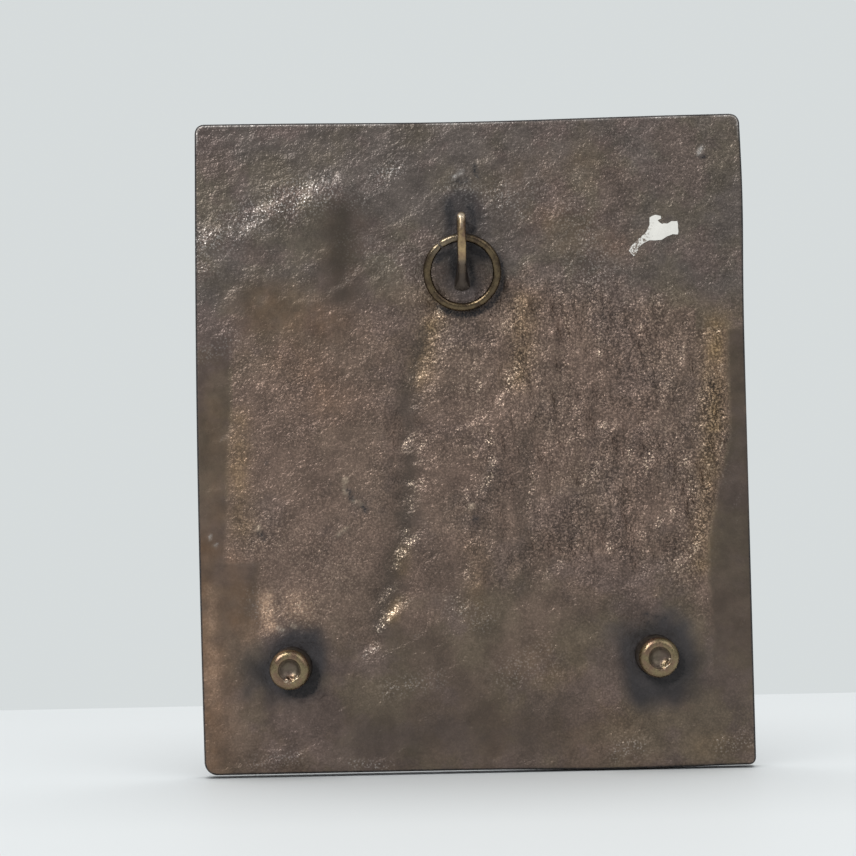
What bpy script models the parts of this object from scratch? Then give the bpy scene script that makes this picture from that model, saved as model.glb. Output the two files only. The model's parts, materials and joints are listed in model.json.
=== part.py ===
# A cast bronze relief plaque that hangs by a brass ring. The relief faces +Y, the side with the ring faces -Y, and +Z is
# up. The origin is on the line that the ring swings on, inside its eye.
import math

import bmesh
import bpy
import numpy as np

# Plate
PLATE_WIDTH = 0.182
PLATE_HEIGHT = 0.215
PLATE_THICKNESS = 0.0045  # at the relief's ground
EDGE_DRAFT = 0.0004  # the back outline stays this far inside the front one
BACK_EDGE_RADIUS = 0.0012
FRONT_EDGE_RADIUS = 0.0008
TOP_LEFT_RADIUS = 0.0030
TOP_RIGHT_RADIUS = 0.0033
BOTTOM_LEFT_RADIUS = 0.0043
BOTTOM_RIGHT_RADIUS = 0.0023
SURFACE_STEP = 0.0011  # spacing of the points that the plate's faces start from
PLATE_TRIANGLES = 6800

# Hand-dressed edges: how far each one strays from a straight line
TOP_EDGE_HOLLOW = 0.0009
BOTTOM_EDGE_SWELL = 0.0006
LEFT_EDGE_BOW = 0.0009
RIGHT_EDGE_SWELL = 0.0007

# Uneven back
FOLD_RISE = 0.0010
SHORT_FOLD_RISE = 0.0007
FOLD_HALF_WIDTH = 0.0030
HOLLOW_DEPTH = 0.0010
HOLLOW_RADIUS = 0.0095
TROUGH_DEPTH = 0.0015
TROUGH_HALF_WIDTH = 0.0048
SWELL_RISE = 0.0008
SWELL_HALF_WIDTH = 0.0110
EDGE_FADE = 0.0040  # the unevenness fades out over this much at the edges
PAD_MARGIN = 0.0012  # the back is flat this far round each brazed piece
PAD_FADE = 0.0050

# Relief side
BORDER_WIDTH = 0.0070
BORDER_RISE = 0.0018
BORDER_SLOPE = 0.0012
GROUND_MARGIN = 0.0020
MOUND_HEIGHT = 0.026
MOUND_RISE = 0.0013
TRUNK_WIDTH = 0.0210
TRUNK_TIP_WIDTH = 0.0040
TRUNK_RISE = 0.0044
ROOT_LENGTH = 0.025
ROOT_WIDTH = 0.0130
ROOT_TIP_WIDTH = 0.0030
BRANCH_WIDTH = 0.0062
BRANCH_TIP_WIDTH = 0.0026
BRANCH_RISE = 0.0026
BRANCH_BEND = math.radians(34)
BRANCH_STEPS = 10
LEAF_LENGTH = 0.0245
LEAF_WIDTH = 0.0112
LEAF_RISE = 0.0028
LEAF_SPACING = 0.0150
LEAF_SPREAD = math.radians(52)
FRUIT_RADIUS = 0.0056
FRUIT_RISE = 0.0042

# Hanging ring
RING_MEAN_RADIUS = 0.0114
WIRE_RADIUS = 0.0014
RING_SLIT = 0.0006
RING_SLIT_ANGLE = math.radians(128)
RING_POINTS = 44

# Eye that holds the ring
PIVOT_BELOW_TOP = 0.0408
PIVOT_LEFT_OF_CENTRE = 0.0025
PIVOT_STANDOFF = 0.0070  # from the plate's back to the pivot
EYE_BEYOND_PIVOT = 0.0042
EYE_ABOVE_PIVOT = 0.0082
EYE_BELOW_PIVOT = 0.0172
EYE_THICKNESS = 0.0028
EYE_BASE_WIDTH = 0.0058
EYE_FLARE_DEPTH = 0.0035
EYE_HOLE_RADIUS = 0.0026
RING_CLEARANCE = 0.0004

# Feet
FOOT_RADIUS = 0.0065
FOOT_FLARE = 0.0003
FOOT_FLARE_HEIGHT = 0.0010
FOOT_ROUNDING = 0.0017
FOOT_RIM_FLAT = 0.0008
FOOT_LIP = 0.0005
FOOT_DIMPLE_DEPTH = 0.0018
LEFT_FOOT_INSET = 0.0303  # from the plate's left edge
LEFT_FOOT_ABOVE_BOTTOM = 0.0356
RIGHT_FOOT_INSET = 0.0331  # from the right edge
RIGHT_FOOT_ABOVE_BOTTOM = 0.0371
TURNED_STEPS = 28

PIECE_GAP = 0.0003  # between pieces that meet

CENTRE_X = PIVOT_LEFT_OF_CENTRE
TOP_Z = PIVOT_BELOW_TOP
CENTRE_Z = TOP_Z - PLATE_HEIGHT / 2
LEFT_X = CENTRE_X - PLATE_WIDTH / 2
RIGHT_X = CENTRE_X + PLATE_WIDTH / 2
BOTTOM_Z = TOP_Z - PLATE_HEIGHT
BACK_Y = PIVOT_STANDOFF
STANDOFF = PIVOT_STANDOFF + EYE_BEYOND_PIVOT  # the eye and both feet reach this far from the back
LEFT_FOOT = (LEFT_X + LEFT_FOOT_INSET, BOTTOM_Z + LEFT_FOOT_ABOVE_BOTTOM)
RIGHT_FOOT = (RIGHT_X - RIGHT_FOOT_INSET, BOTTOM_Z + RIGHT_FOOT_ABOVE_BOTTOM)
CORNER_RADII = {
    (-1, 1): TOP_LEFT_RADIUS,
    (1, 1): TOP_RIGHT_RADIUS,
    (-1, -1): BOTTOM_LEFT_RADIUS,
    (1, -1): BOTTOM_RIGHT_RADIUS,
}


def clear_scene():
    for item in list(bpy.data.objects):
        bpy.data.objects.remove(item, do_unlink=True)


def metal(name, colour, roughness):
    material = bpy.data.materials.new(name)
    material.use_nodes = True
    shader = material.node_tree.nodes["Principled BSDF"]
    shader.inputs["Base Color"].default_value = (*colour, 1.0)
    shader.inputs["Roughness"].default_value = roughness
    shader.inputs["Metallic"].default_value = 1.0
    return material


def add_object(name, data, material):
    item = bpy.data.objects.new(name, data)
    bpy.context.collection.objects.link(item)
    data.materials.append(material)
    return item


def add_mesh(name, shape, material):
    """Takes a bmesh, turns its faces outwards and makes it an object."""
    bmesh.ops.recalc_face_normals(shape, faces=shape.faces)
    mesh = bpy.data.meshes.new(name)
    shape.to_mesh(mesh)
    shape.free()
    mesh.shade_smooth()
    mesh.set_sharp_from_angle(angle=math.radians(45))
    return add_object(name, mesh, material)


def eased(value):
    """0 below 0, 1 above 1, and a smooth rise between."""
    value = np.clip(value, 0, 1)
    return value * value * (3 - 2 * value)


def place(across, down):
    """The (x, z) of a place on the plate, as shares of its width from the left and of its height from the top."""
    return LEFT_X + across * PLATE_WIDTH, TOP_Z - down * PLATE_HEIGHT


def smooth_path(points, steps):
    """A smooth curve through the points, with this many steps for each stretch."""
    points = np.array(points)
    ends = [2 * points[0] - points[1], *points, 2 * points[-1] - points[-2]]
    path = []
    for before, start, end, after in zip(ends, ends[1:], ends[2:], ends[3:]):
        for step in range(steps):
            t = step / steps
            path.append(
                start
                + 0.5 * t * (end - before)
                + t**2 * (before - 2.5 * start + 2 * end - 0.5 * after)
                + t**3 * (1.5 * (start - end) + 0.5 * (after - before))
            )
    return [*path, points[-1]]


def distances(x, z, path):
    """For each stretch of the path, how far each place is from it, and the share of the path that has gone by."""
    count = len(path) - 1
    for index, (start, end) in enumerate(zip(path, path[1:])):
        run_x, run_z = end[0] - start[0], end[1] - start[1]
        along = ((x - start[0]) * run_x + (z - start[1]) * run_z) / (run_x**2 + run_z**2)
        along = np.clip(along, 0, 1)
        yield np.hypot(x - start[0] - along * run_x, z - start[1] - along * run_z), (index + along) / count


def soft_fold(x, z, path, half_width):
    """1 on the path, falling away softly on both sides."""
    nearest = np.minimum.reduce([gap for gap, _ in distances(x, z, path)])
    return np.exp(-((nearest / half_width) ** 2))


def stroke(x, z, path, start_width, end_width):
    """The height of a rounded stroke that tapers along the path, as a share of its full height."""
    best = np.zeros_like(x)
    for gap, share in distances(x, z, path):
        half_width = (start_width + (end_width - start_width) * share**0.6) / 2
        best = np.maximum(best, 1 - (gap / half_width) ** 2)
    return best**0.8


def dome(x, z, centre, radius):
    return np.clip(1 - np.hypot(x - centre[0], z - centre[1]) ** 2 / radius**2, 0, 1) ** 0.75


def leaf(x, z, base, angle, size):
    """A pointed leaf with a ridge down its middle, as a share of a full leaf's height."""
    along = ((x - base[0]) * math.cos(angle) + (z - base[1]) * math.sin(angle)) / (LEAF_LENGTH * size)
    across = np.abs((z - base[1]) * math.cos(angle) - (x - base[0]) * math.sin(angle))
    inside = (along > 0) & (along < 1)
    half_width = LEAF_WIDTH * size / 2 * np.sin(math.pi * np.clip(along, 0.001, 0.999) ** 0.8)
    side = np.clip(across / half_width, 0, 1)
    height = (1 - side) ** 0.75 * np.clip(half_width / (LEAF_WIDTH * size / 2), 0, 1) ** 0.5
    return np.where(inside, height, 0)


def trunk_path():
    shares = ((0.29, 0.885), (0.305, 0.77), (0.355, 0.62), (0.385, 0.47), (0.43, 0.34), (0.49, 0.24), (0.52, 0.17))
    return smooth_path([place(*share) for share in shares], 6)


def branches():
    """Each branch as its path. They leave the trunk on alternate sides and bend upwards."""
    trunk = trunk_path()
    # Share of the way up the trunk, side, length, and degrees away from the trunk
    starts = (
        (0.38, 1, 0.082, 78),
        (0.46, -1, 0.038, 66),
        (0.58, 1, 0.072, 66),
        (0.68, -1, 0.050, 70),
        (0.79, 1, 0.050, 62),
        (0.86, -1, 0.052, 60),
    )
    for share, side, length, spread in starts:
        index = int(share * (len(trunk) - 1))
        start, ahead = np.array(trunk[index]), np.array(trunk[index + 1])
        heading = math.atan2(*(ahead - start)[::-1]) - side * math.radians(spread)
        path = [start]
        for step in range(BRANCH_STEPS):
            turned = heading + side * BRANCH_BEND * step / BRANCH_STEPS
            path.append(path[-1] + length / BRANCH_STEPS * np.array([math.cos(turned), math.sin(turned)]))
        yield path


def roots():
    """Each root as its path, spreading from the foot of the trunk."""
    start = np.array(trunk_path()[0])
    for heading in (198, 238, 298, 338):
        reach = ROOT_LENGTH * np.array([math.cos(math.radians(heading)), math.sin(math.radians(heading))])
        yield [start, start + reach]


def relief(x, z):
    """The height of the tree above the relief's ground."""
    trunk = trunk_path()
    height = TRUNK_RISE * stroke(x, z, trunk, TRUNK_WIDTH, TRUNK_TIP_WIDTH)
    for path in roots():
        height = np.maximum(height, BRANCH_RISE * stroke(x, z, path, ROOT_WIDTH, ROOT_TIP_WIDTH))
    for path in [*branches(), trunk[-7:]]:
        height = np.maximum(height, BRANCH_RISE * stroke(x, z, path, BRANCH_WIDTH, BRANCH_TIP_WIDTH))
        height = np.maximum(height, twig_height(x, z, path))
    return np.maximum(height, mound(x, z))


def twig_height(x, z, path):
    """Pairs of leaves along a branch, a leaf at its tip, and a fruit in place of every third leaf."""
    height = np.zeros_like(x)
    stretch = math.dist(path[0], path[1])
    pairs = int(stretch * (len(path) - 1) / LEAF_SPACING)
    for pair in range(1, pairs + 1):
        place_along = pair * LEAF_SPACING / stretch
        index = min(int(place_along), len(path) - 2)
        direction = path[index + 1] - path[index]
        heading = math.atan2(direction[1], direction[0])
        base = path[index] + direction * min(place_along - index, 1)
        size = 1 - 0.3 * pair / pairs
        for side in (-1, 1):
            angle = heading + side * LEAF_SPREAD
            if (2 * pair + side) % 5 == 0:
                centre = base + 1.15 * FRUIT_RADIUS * np.array([math.cos(angle), math.sin(angle)])
                height = np.maximum(height, FRUIT_RISE * dome(x, z, centre, FRUIT_RADIUS))
            else:
                height = np.maximum(height, LEAF_RISE * leaf(x, z, base, angle, size))
    tip_heading = math.atan2(*(path[-1] - path[-2])[::-1])
    return np.maximum(height, LEAF_RISE * leaf(x, z, path[-1], tip_heading, 0.8))


def mound(x, z):
    """A low hill that the tree stands on."""
    across = (x - LEFT_X) / PLATE_WIDTH
    hill_top = BOTTOM_Z + MOUND_HEIGHT * (0.75 + 0.5 * np.exp(-(((across - 0.3) / 0.22) ** 2)))
    return MOUND_RISE * eased((hill_top - z) / (3 * MOUND_RISE))


def flat_places(x, z):
    """0 where a foot or the eye stands on the back and where the ring rests, 1 well away from them."""
    foot_room = FOOT_RADIUS + FOOT_FLARE + PAD_MARGIN
    free = np.ones_like(x)
    for centre in (LEFT_FOOT, RIGHT_FOOT):
        free *= eased((np.hypot(x - centre[0], z - centre[1]) - foot_room) / PAD_FADE)
    ring_reach = 2 * RING_MEAN_RADIUS + WIRE_RADIUS
    eye_line = [(0, EYE_ABOVE_PIVOT), (0, -max(EYE_BELOW_PIVOT, ring_reach))]
    gap = next(distances(x, z, eye_line))[0]
    return free * eased((gap - EYE_BASE_WIDTH / 2 - PAD_MARGIN) / PAD_FADE)


def back_rise(x, z):
    """How far the back stands out from its plane. It is negative in a hollow."""
    long_fold = [place(*share) for share in ((0, 0.187), (0.07, 0.156), (0.17, 0.127), (0.27, 0.110))]
    short_fold = [place(0.3225, 0.109), place(0.378, 0.073)]
    trough_shares = ((0.43, 0.30), (0.376, 0.41), (0.378, 0.49), (0.363, 0.59), (0.337, 0.68), (0.296, 0.80))
    swell_shares = ((0.597, 0.308), (0.564, 0.43), (0.535, 0.54), (0.508, 0.645), (0.49, 0.80))
    trough = smooth_path([place(*share) for share in trough_shares], 4)
    swell = smooth_path([place(*share) for share in swell_shares], 3)
    rise = FOLD_RISE * soft_fold(x, z, long_fold, FOLD_HALF_WIDTH)
    rise += SHORT_FOLD_RISE * soft_fold(x, z, short_fold, FOLD_HALF_WIDTH)
    rise -= HOLLOW_DEPTH * soft_fold(x, z, [place(0.245, 0.21), place(0.275, 0.235)], HOLLOW_RADIUS)
    rise -= TROUGH_DEPTH * soft_fold(x, z, trough, TROUGH_HALF_WIDTH)
    rise += SWELL_RISE * soft_fold(x, z, swell, SWELL_HALF_WIDTH)
    return rise * flat_places(x, z)


def edge_drop(inset, radius):
    """How far a rounded edge has fallen away, this far in from the outline."""
    left = radius - np.minimum(inset, radius)
    return radius - np.sqrt(radius**2 - left**2)


def back_y(x, z, inset):
    return BACK_Y - back_rise(x, z) * eased(inset / EDGE_FADE) + edge_drop(inset, BACK_EDGE_RADIUS)


def front_y(x, z, inset):
    border = BORDER_RISE * (1 - eased((inset - BORDER_WIDTH + BORDER_SLOPE) / BORDER_SLOPE))
    motif = relief(x, z) * eased((inset - BORDER_WIDTH) / GROUND_MARGIN)
    return BACK_Y + PLATE_THICKNESS + np.maximum(border, motif) - edge_drop(inset, FRONT_EDGE_RADIUS)


def stray(x, z):
    """How far the hand-dressed outline moves a place sideways and upwards. It fades out away from the edges."""
    across = (x - LEFT_X) / PLATE_WIDTH
    down = (TOP_Z - z) / PLATE_HEIGHT
    near_left, near_right = eased((0.12 - across) / 0.12), eased((across - 0.88) / 0.12)
    near_top, near_bottom = eased((0.12 - down) / 0.12), eased((down - 0.88) / 0.12)
    sideways = near_left * LEFT_EDGE_BOW * (1 - np.sin(math.pi * down))
    sideways -= near_right * RIGHT_EDGE_SWELL * (1 - np.exp(-(((down - 0.13) / 0.12) ** 2)))
    upwards = -near_top * TOP_EDGE_HOLLOW * np.exp(-(((across - 0.49) / 0.28) ** 2))
    upwards += near_bottom * BOTTOM_EDGE_SWELL * (1 - np.exp(-(((across - 0.75) / 0.17) ** 2)))
    return sideways, upwards


def crowded(length, shrink, insets):
    """Evenly spaced places along a length that is cut by the shrink at both ends, crowded at the insets from its ends."""
    half = length / 2 - shrink
    inner = half - insets[-1]
    middle = np.linspace(-inner, inner, round(length / SURFACE_STEP))
    near_end = half - np.array(insets[:-1])
    return np.concatenate([-near_end, middle, near_end[::-1]])


def outline_grid(shrink):
    """Places all over the plate's outline, and how far each is in from it. Grid squares at the corners are bent round."""
    half_x, half_z = PLATE_WIDTH / 2 - shrink, PLATE_HEIGHT / 2 - shrink
    round_edge = [BACK_EDGE_RADIUS * share for share in (0, 0.12, 0.4, 1)]
    insets = [*round_edge, BORDER_WIDTH - BORDER_SLOPE, BORDER_WIDTH - BORDER_SLOPE / 2, BORDER_WIDTH]
    x, z = np.meshgrid(crowded(PLATE_WIDTH, shrink, insets), crowded(PLATE_HEIGHT, shrink, insets))
    inset = np.minimum(half_x - np.abs(x), half_z - np.abs(z))
    for (side_x, side_z), radius in CORNER_RADII.items():
        over_x = side_x * x - (half_x - radius)
        over_z = side_z * z - (half_z - radius)
        bent = (over_x > 0) & (over_z > 0)
        scale = np.maximum(over_x, over_z) / np.maximum(np.hypot(over_x, over_z), 1e-9)
        x = np.where(bent, side_x * (half_x - radius + over_x * scale), x)
        z = np.where(bent, side_z * (half_z - radius + over_z * scale), z)
    return x + CENTRE_X, z + CENTRE_Z, inset


def grid_faces(rows, columns, first):
    for row in range(rows - 1):
        for column in range(columns - 1):
            corner = first + row * columns + column
            yield corner, corner + 1, corner + columns + 1, corner + columns


def grid_outline(rows, columns):
    """The places on the grid's outline, once round."""
    bottom = list(range(columns))
    right = [row * columns + columns - 1 for row in range(1, rows)]
    top = [(rows - 1) * columns + column for column in range(columns - 2, -1, -1)]
    left = [row * columns for row in range(rows - 2, 0, -1)]
    return [*bottom, *right, *top, *left]


def relief_plate():
    points = []
    for shrink, surface in ((EDGE_DRAFT, back_y), (0, front_y)):
        x, z, inset = outline_grid(shrink)
        y = surface(x, z, inset)
        sideways, upwards = stray(x, z)
        points.append(np.stack([x + sideways, y, z + upwards], axis=-1))
    rows, columns = points[0].shape[:2]
    size = rows * columns
    faces = [*grid_faces(rows, columns, 0), *grid_faces(rows, columns, size)]
    ring = grid_outline(rows, columns)
    for start, end in zip(ring, [*ring[1:], ring[0]]):
        faces.append((start, end, end + size, start + size))
    rough = bpy.data.meshes.new("rough_plate")
    rough.from_pydata(np.concatenate(points).reshape(-1, 3).tolist(), [], faces)
    shape = bmesh.new()
    shape.from_mesh(rough)
    bpy.data.meshes.remove(rough)
    plate = add_mesh("relief_plate", shape, metal("plate_bronze", (0.13, 0.105, 0.085), 0.5))
    thinned = plate.modifiers.new("fewer_faces", "DECIMATE")
    thinned.ratio = PLATE_TRIANGLES / (2 * len(faces))
    return plate


def arc(centre, radius, start, end, steps):
    """Points (across, up) on an arc between two angles in degrees."""
    for step in range(steps + 1):
        angle = math.radians(start + (end - start) * step / steps)
        yield centre[0] + radius * math.cos(angle), centre[1] + radius * math.sin(angle)


def foot_profile():
    """(radius, height above the plate) from the middle of the dimple, over the rim and down to the base."""
    tip = STANDOFF - PIECE_GAP
    rim_outer = FOOT_RADIUS - FOOT_ROUNDING
    dimple_radius = rim_outer - FOOT_RIM_FLAT - FOOT_LIP
    bowl = [(0, tip - FOOT_DIMPLE_DEPTH)]
    for share in (0.45, 0.8, 1):
        bowl.append((dimple_radius * share, tip - FOOT_DIMPLE_DEPTH * (1 - 0.75 * share**2.5)))
    rim = [(dimple_radius + FOOT_LIP, tip)]
    rounding = arc((rim_outer, tip - FOOT_ROUNDING), FOOT_ROUNDING, 90, 0, 4)
    base = [(FOOT_RADIUS, FOOT_FLARE_HEIGHT), (FOOT_RADIUS + FOOT_FLARE, 0), (0, 0)]
    return [*bowl, *rim, *rounding, *base]


def foot(name, centre, material):
    """A turned foot: its profile is spun round its axis, and its base is just off the plate's back."""
    shape = bmesh.new()
    profile = [shape.verts.new((radius, -height, 0)) for radius, height in foot_profile()]
    edges = [shape.edges.new(pair) for pair in zip(profile, profile[1:])]
    bmesh.ops.spin(
        shape,
        geom=[*profile, *edges],
        cent=(0, 0, 0),
        axis=(0, 1, 0),
        angle=2 * math.pi,
        steps=TURNED_STEPS,
        use_duplicate=False,
    )
    bmesh.ops.remove_doubles(shape, verts=shape.verts, dist=1e-6)
    item = add_mesh(name, shape, material)
    item.location = (centre[0], BACK_Y - PIECE_GAP, centre[1])
    return item


def eye_section(share):
    """(bottom z, top z, half width) of the eye at this share of its height above the plate."""
    depth = share * STANDOFF
    round_start = STANDOFF - EYE_THICKNESS / 2
    rounding = 1.0
    if depth > round_start:
        rounding = math.sqrt(1 - 0.7 * ((depth - round_start) / (STANDOFF - round_start)) ** 2)
    flare = max(0.0, 1 - depth / EYE_FLARE_DEPTH) ** 2
    half_width = (EYE_THICKNESS * rounding + (EYE_BASE_WIDTH - EYE_THICKNESS) * flare) / 2
    bottom = np.interp(share, (0, 0.25, 0.71, 0.92, 1), (1, 0.82, 0.515, 0.24, -0.09))
    top = np.interp(share, (0, 0.25, 0.83, 0.93, 1), (1.1, 1.02, 1, 0.93, 0.78))
    return -EYE_BELOW_PIVOT * bottom, EYE_ABOVE_PIVOT * top, half_width


def hanging_eye(material):
    """A flat lug with rounded edges that flares into the plate, with a round hole that the ring hangs in."""
    shape = bmesh.new()
    sections = []
    for share in (0, 0.06, 0.14, 0.25, 0.5, 0.71, 0.83, 0.92, 0.97, 1):
        low, high, half_width = eye_section(share)
        y = BACK_Y - PIECE_GAP - share * (STANDOFF - PIECE_GAP)
        outline = [*arc((0, high - half_width), half_width, 0, 180, 7)]
        outline += arc((0, low + half_width), half_width, 180, 360, 7)
        sections.append([shape.verts.new((x, y, z)) for x, z in outline])
    for near, far in zip(sections, sections[1:]):
        for index in range(len(near)):
            after = (index + 1) % len(near)
            shape.faces.new((near[index], near[after], far[after], far[index]))
    shape.faces.new(sections[0])
    shape.faces.new(sections[-1])
    eye = add_mesh("hanging_eye", shape, material)
    cut = eye.modifiers.new("ring_hole", "BOOLEAN")
    cut.operation = "DIFFERENCE"
    cut.object = eye_hole_cutter(material)
    return eye


def eye_hole_cutter(material):
    """The hole's floor is one clearance below the ring's wire."""
    height = EYE_HOLE_RADIUS - WIRE_RADIUS - RING_CLEARANCE
    shape = bmesh.new()
    bmesh.ops.create_cone(
        shape,
        cap_ends=True,
        segments=TURNED_STEPS,
        radius1=EYE_HOLE_RADIUS,
        radius2=EYE_HOLE_RADIUS,
        depth=2 * EYE_BASE_WIDTH,
    )
    cutter = add_mesh("ring_hole_cutter", shape, material)
    cutter.rotation_euler = (0, math.pi / 2, 0)
    cutter.location = (0, 0, height)
    cutter.hide_render = True
    cutter.display_type = "WIRE"
    return cutter


def hanging_ring(material):
    """A wire ring with a slit, leaning back until its lower end rests just off the plate."""
    pivot = bpy.data.objects.new("ring_pivot", None)
    bpy.context.collection.objects.link(pivot)
    room = PIVOT_STANDOFF - WIRE_RADIUS - PIECE_GAP
    pivot.rotation_euler = (math.asin(room / (2 * RING_MEAN_RADIUS)), 0, 0)
    curve = bpy.data.curves.new("hanging_ring", "CURVE")
    curve.dimensions = "3D"
    curve.bevel_depth = WIRE_RADIUS
    curve.bevel_resolution = 3
    curve.use_fill_caps = True
    spline = curve.splines.new("POLY")
    spline.points.add(RING_POINTS - 1)
    half_slit = RING_SLIT / 2 / RING_MEAN_RADIUS
    turn = 2 * math.pi - 2 * half_slit
    for index, point in enumerate(spline.points):
        angle = RING_SLIT_ANGLE + half_slit + turn * index / (RING_POINTS - 1)
        x, z = RING_MEAN_RADIUS * math.cos(angle), RING_MEAN_RADIUS * (math.sin(angle) - 1)
        point.co = (x, 0, z, 1)
    ring = add_object("hanging_ring", curve, material)
    ring.parent = pivot
    return ring


clear_scene()
relief_plate()
hanging_eye(metal("eye_brass", (0.30, 0.23, 0.13), 0.35))
hanging_ring(metal("ring_brass", (0.34, 0.26, 0.14), 0.3))
foot("left_foot", LEFT_FOOT, metal("left_foot_brass", (0.32, 0.25, 0.14), 0.32))
foot("right_foot", RIGHT_FOOT, metal("right_foot_brass", (0.32, 0.25, 0.14), 0.32))
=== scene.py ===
import json
import math

import bmesh
import bpy
import numpy as np
from mathutils import Matrix, Quaternion, Vector

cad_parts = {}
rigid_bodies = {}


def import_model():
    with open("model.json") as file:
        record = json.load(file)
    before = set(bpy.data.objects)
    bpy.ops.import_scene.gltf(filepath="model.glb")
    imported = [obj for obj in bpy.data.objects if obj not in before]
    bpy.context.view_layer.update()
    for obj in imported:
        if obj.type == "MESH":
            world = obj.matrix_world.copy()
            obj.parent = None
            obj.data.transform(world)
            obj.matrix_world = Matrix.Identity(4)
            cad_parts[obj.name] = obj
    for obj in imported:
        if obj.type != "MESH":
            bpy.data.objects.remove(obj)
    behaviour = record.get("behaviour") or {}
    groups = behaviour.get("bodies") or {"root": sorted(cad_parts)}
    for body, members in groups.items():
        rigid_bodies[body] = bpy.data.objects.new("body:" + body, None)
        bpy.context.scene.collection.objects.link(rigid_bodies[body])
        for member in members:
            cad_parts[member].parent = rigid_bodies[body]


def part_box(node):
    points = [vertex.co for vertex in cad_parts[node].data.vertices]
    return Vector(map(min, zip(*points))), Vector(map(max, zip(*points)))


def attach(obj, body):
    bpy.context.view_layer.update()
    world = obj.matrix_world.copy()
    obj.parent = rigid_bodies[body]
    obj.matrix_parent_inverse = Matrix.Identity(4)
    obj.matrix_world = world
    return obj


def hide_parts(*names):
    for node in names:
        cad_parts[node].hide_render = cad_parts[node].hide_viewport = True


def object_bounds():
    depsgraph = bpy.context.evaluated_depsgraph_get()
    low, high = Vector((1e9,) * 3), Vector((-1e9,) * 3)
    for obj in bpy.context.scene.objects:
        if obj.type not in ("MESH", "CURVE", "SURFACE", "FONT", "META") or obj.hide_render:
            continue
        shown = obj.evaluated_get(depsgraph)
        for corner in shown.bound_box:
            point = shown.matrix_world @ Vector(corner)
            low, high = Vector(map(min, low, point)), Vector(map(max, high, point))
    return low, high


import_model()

cadLow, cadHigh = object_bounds()
plateLow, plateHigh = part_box("relief_plate")
millimetre = 0.001
tiny = 1e-9  # keeps a divisor from being zero

# the view is from the hanging side, slightly to the left and from a little below the middle
view = {
    "lens": 77.05,
    "distance": 0.600,
    "aim": (-0.0122, 0.007, -0.0615),
    "lookUp": math.radians(2.3),
    "roll": math.radians(-1.20),
    "clipStart": 0.01,
}

# the far lamp stands on the relief's side
lamps = {
    "key_light": {"place": (-1.21, -1.38, 1.48), "size": 1.0, "power": 38.0, "lights": "plaque"},
    "fill_light": {"place": (1.30, -1.40, 1.25), "size": 1.4, "power": 8.0, "lights": "plaque"},
    "far_light": {"place": (0.95, 1.70, 1.20), "size": 1.0, "power": 32.0, "lights": "plaque"},
    "top_light": {"place": (0, -0.10, 1.35), "size": 1.4, "power": 23.5, "lights": "table"},
}

room = {"lampAim": (0, 0, -0.065), "wall": (0.675, 0.71, 0.715), "ambient": (0.44, 0.46, 0.475)}

table = {"half": 1.1, "behind": 0.225, "thickness": 0.02, "colour": (0.70, 0.72, 0.72), "roughness": 0.55}


class Signal:
    # one output of a node: sums with it add Math nodes
    def __init__(self, finish, socket):
        self.finish = finish
        self.socket = socket

    def maths(self, operation, first, second):
        return self.finish.node("ShaderNodeMath", {"operation": operation}, {0: first, 1: second})

    def __add__(self, other):
        return self.maths("ADD", self, other)

    def __radd__(self, other):
        return self.maths("ADD", other, self)

    def __sub__(self, other):
        return self.maths("SUBTRACT", self, other)

    def __rsub__(self, other):
        return self.maths("SUBTRACT", other, self)

    def __mul__(self, other):
        return self.maths("MULTIPLY", self, other)

    def __rmul__(self, other):
        return self.maths("MULTIPLY", other, self)

    def clamped(self):
        limited = {"operation": "ADD", "use_clamp": True}
        return self.finish.node("ShaderNodeMath", limited, {0: self, 1: 0.0})


class Finish:
    # one material, with its Principled shader ready
    def __init__(self, name):
        self.material = bpy.data.materials.new(name)
        self.material.use_nodes = True
        self.tree = self.material.node_tree
        self.shader = self.tree.nodes["Principled BSDF"]

    def node(self, kind, settings=None, values=None, out=0):
        made = self.tree.nodes.new(kind)
        for name, value in (settings or {}).items():
            setattr(made, name, value)
        for name, value in (values or {}).items():
            self.feed(made.inputs[name], value)
        return Signal(self, made.outputs[out])

    def feed(self, socket, value):
        if isinstance(value, Signal):
            self.tree.links.new(value.socket, socket)
        elif socket.type == "RGBA" and len(value) == 3:
            socket.default_value = (*value, 1)
        else:
            socket.default_value = value

    def shade(self, **values):
        for name, value in values.items():
            self.feed(self.shader.inputs[name.replace("_", " ")], value)

    def coords(self):
        return self.node("ShaderNodeTexCoord", out="Object")

    def noise(self, size, detail=3.0, roughness=0.55, stretch=None):
        # size is the width of its blobs in metres
        where = self.coords()
        if stretch:
            scaled = {"operation": "MULTIPLY"}
            where = self.node("ShaderNodeVectorMath", scaled, {0: where, 1: stretch})
        values = {"Vector": where, "Scale": 1 / size, "Detail": detail, "Roughness": roughness}
        return self.node("ShaderNodeTexNoise", values=values)

    def ramp(self, value, low, high):
        smooth = {"interpolation_type": "SMOOTHSTEP"}
        return self.node("ShaderNodeMapRange", smooth, {0: value, 1: low, 2: high})

    def painted(self, name):
        return self.node("ShaderNodeAttribute", {"attribute_name": name}, out="Fac")

    def mix(self, share, first, second):
        return self.node("ShaderNodeMix", {"data_type": "RGBA"}, {0: share, 6: first, 7: second}, out=2)

    def scaled(self, colour, amount):
        made = self.node("ShaderNodeVectorMath", {"operation": "SCALE"}, {0: colour})
        self.feed(made.socket.node.inputs["Scale"], amount)
        return made

    def bump(self, height, depth):
        # depth is in metres, for a height of 1
        return self.node("ShaderNodeBump", values={"Height": height, "Distance": depth})


def eased(value):
    value = np.clip(value, 0, 1)
    return value * value * (3 - 2 * value)


def past(value, start, over):
    # 0 up to the start, then rising to 1 over this distance
    return eased((value - start) / over)


def before(value, end, over):
    # 0 from the end on, and 1 at this distance before it
    return eased((end - value) / over)


def bell(value, middle, reach):
    return np.exp(-(((value - middle) / reach) ** 2))


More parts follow.
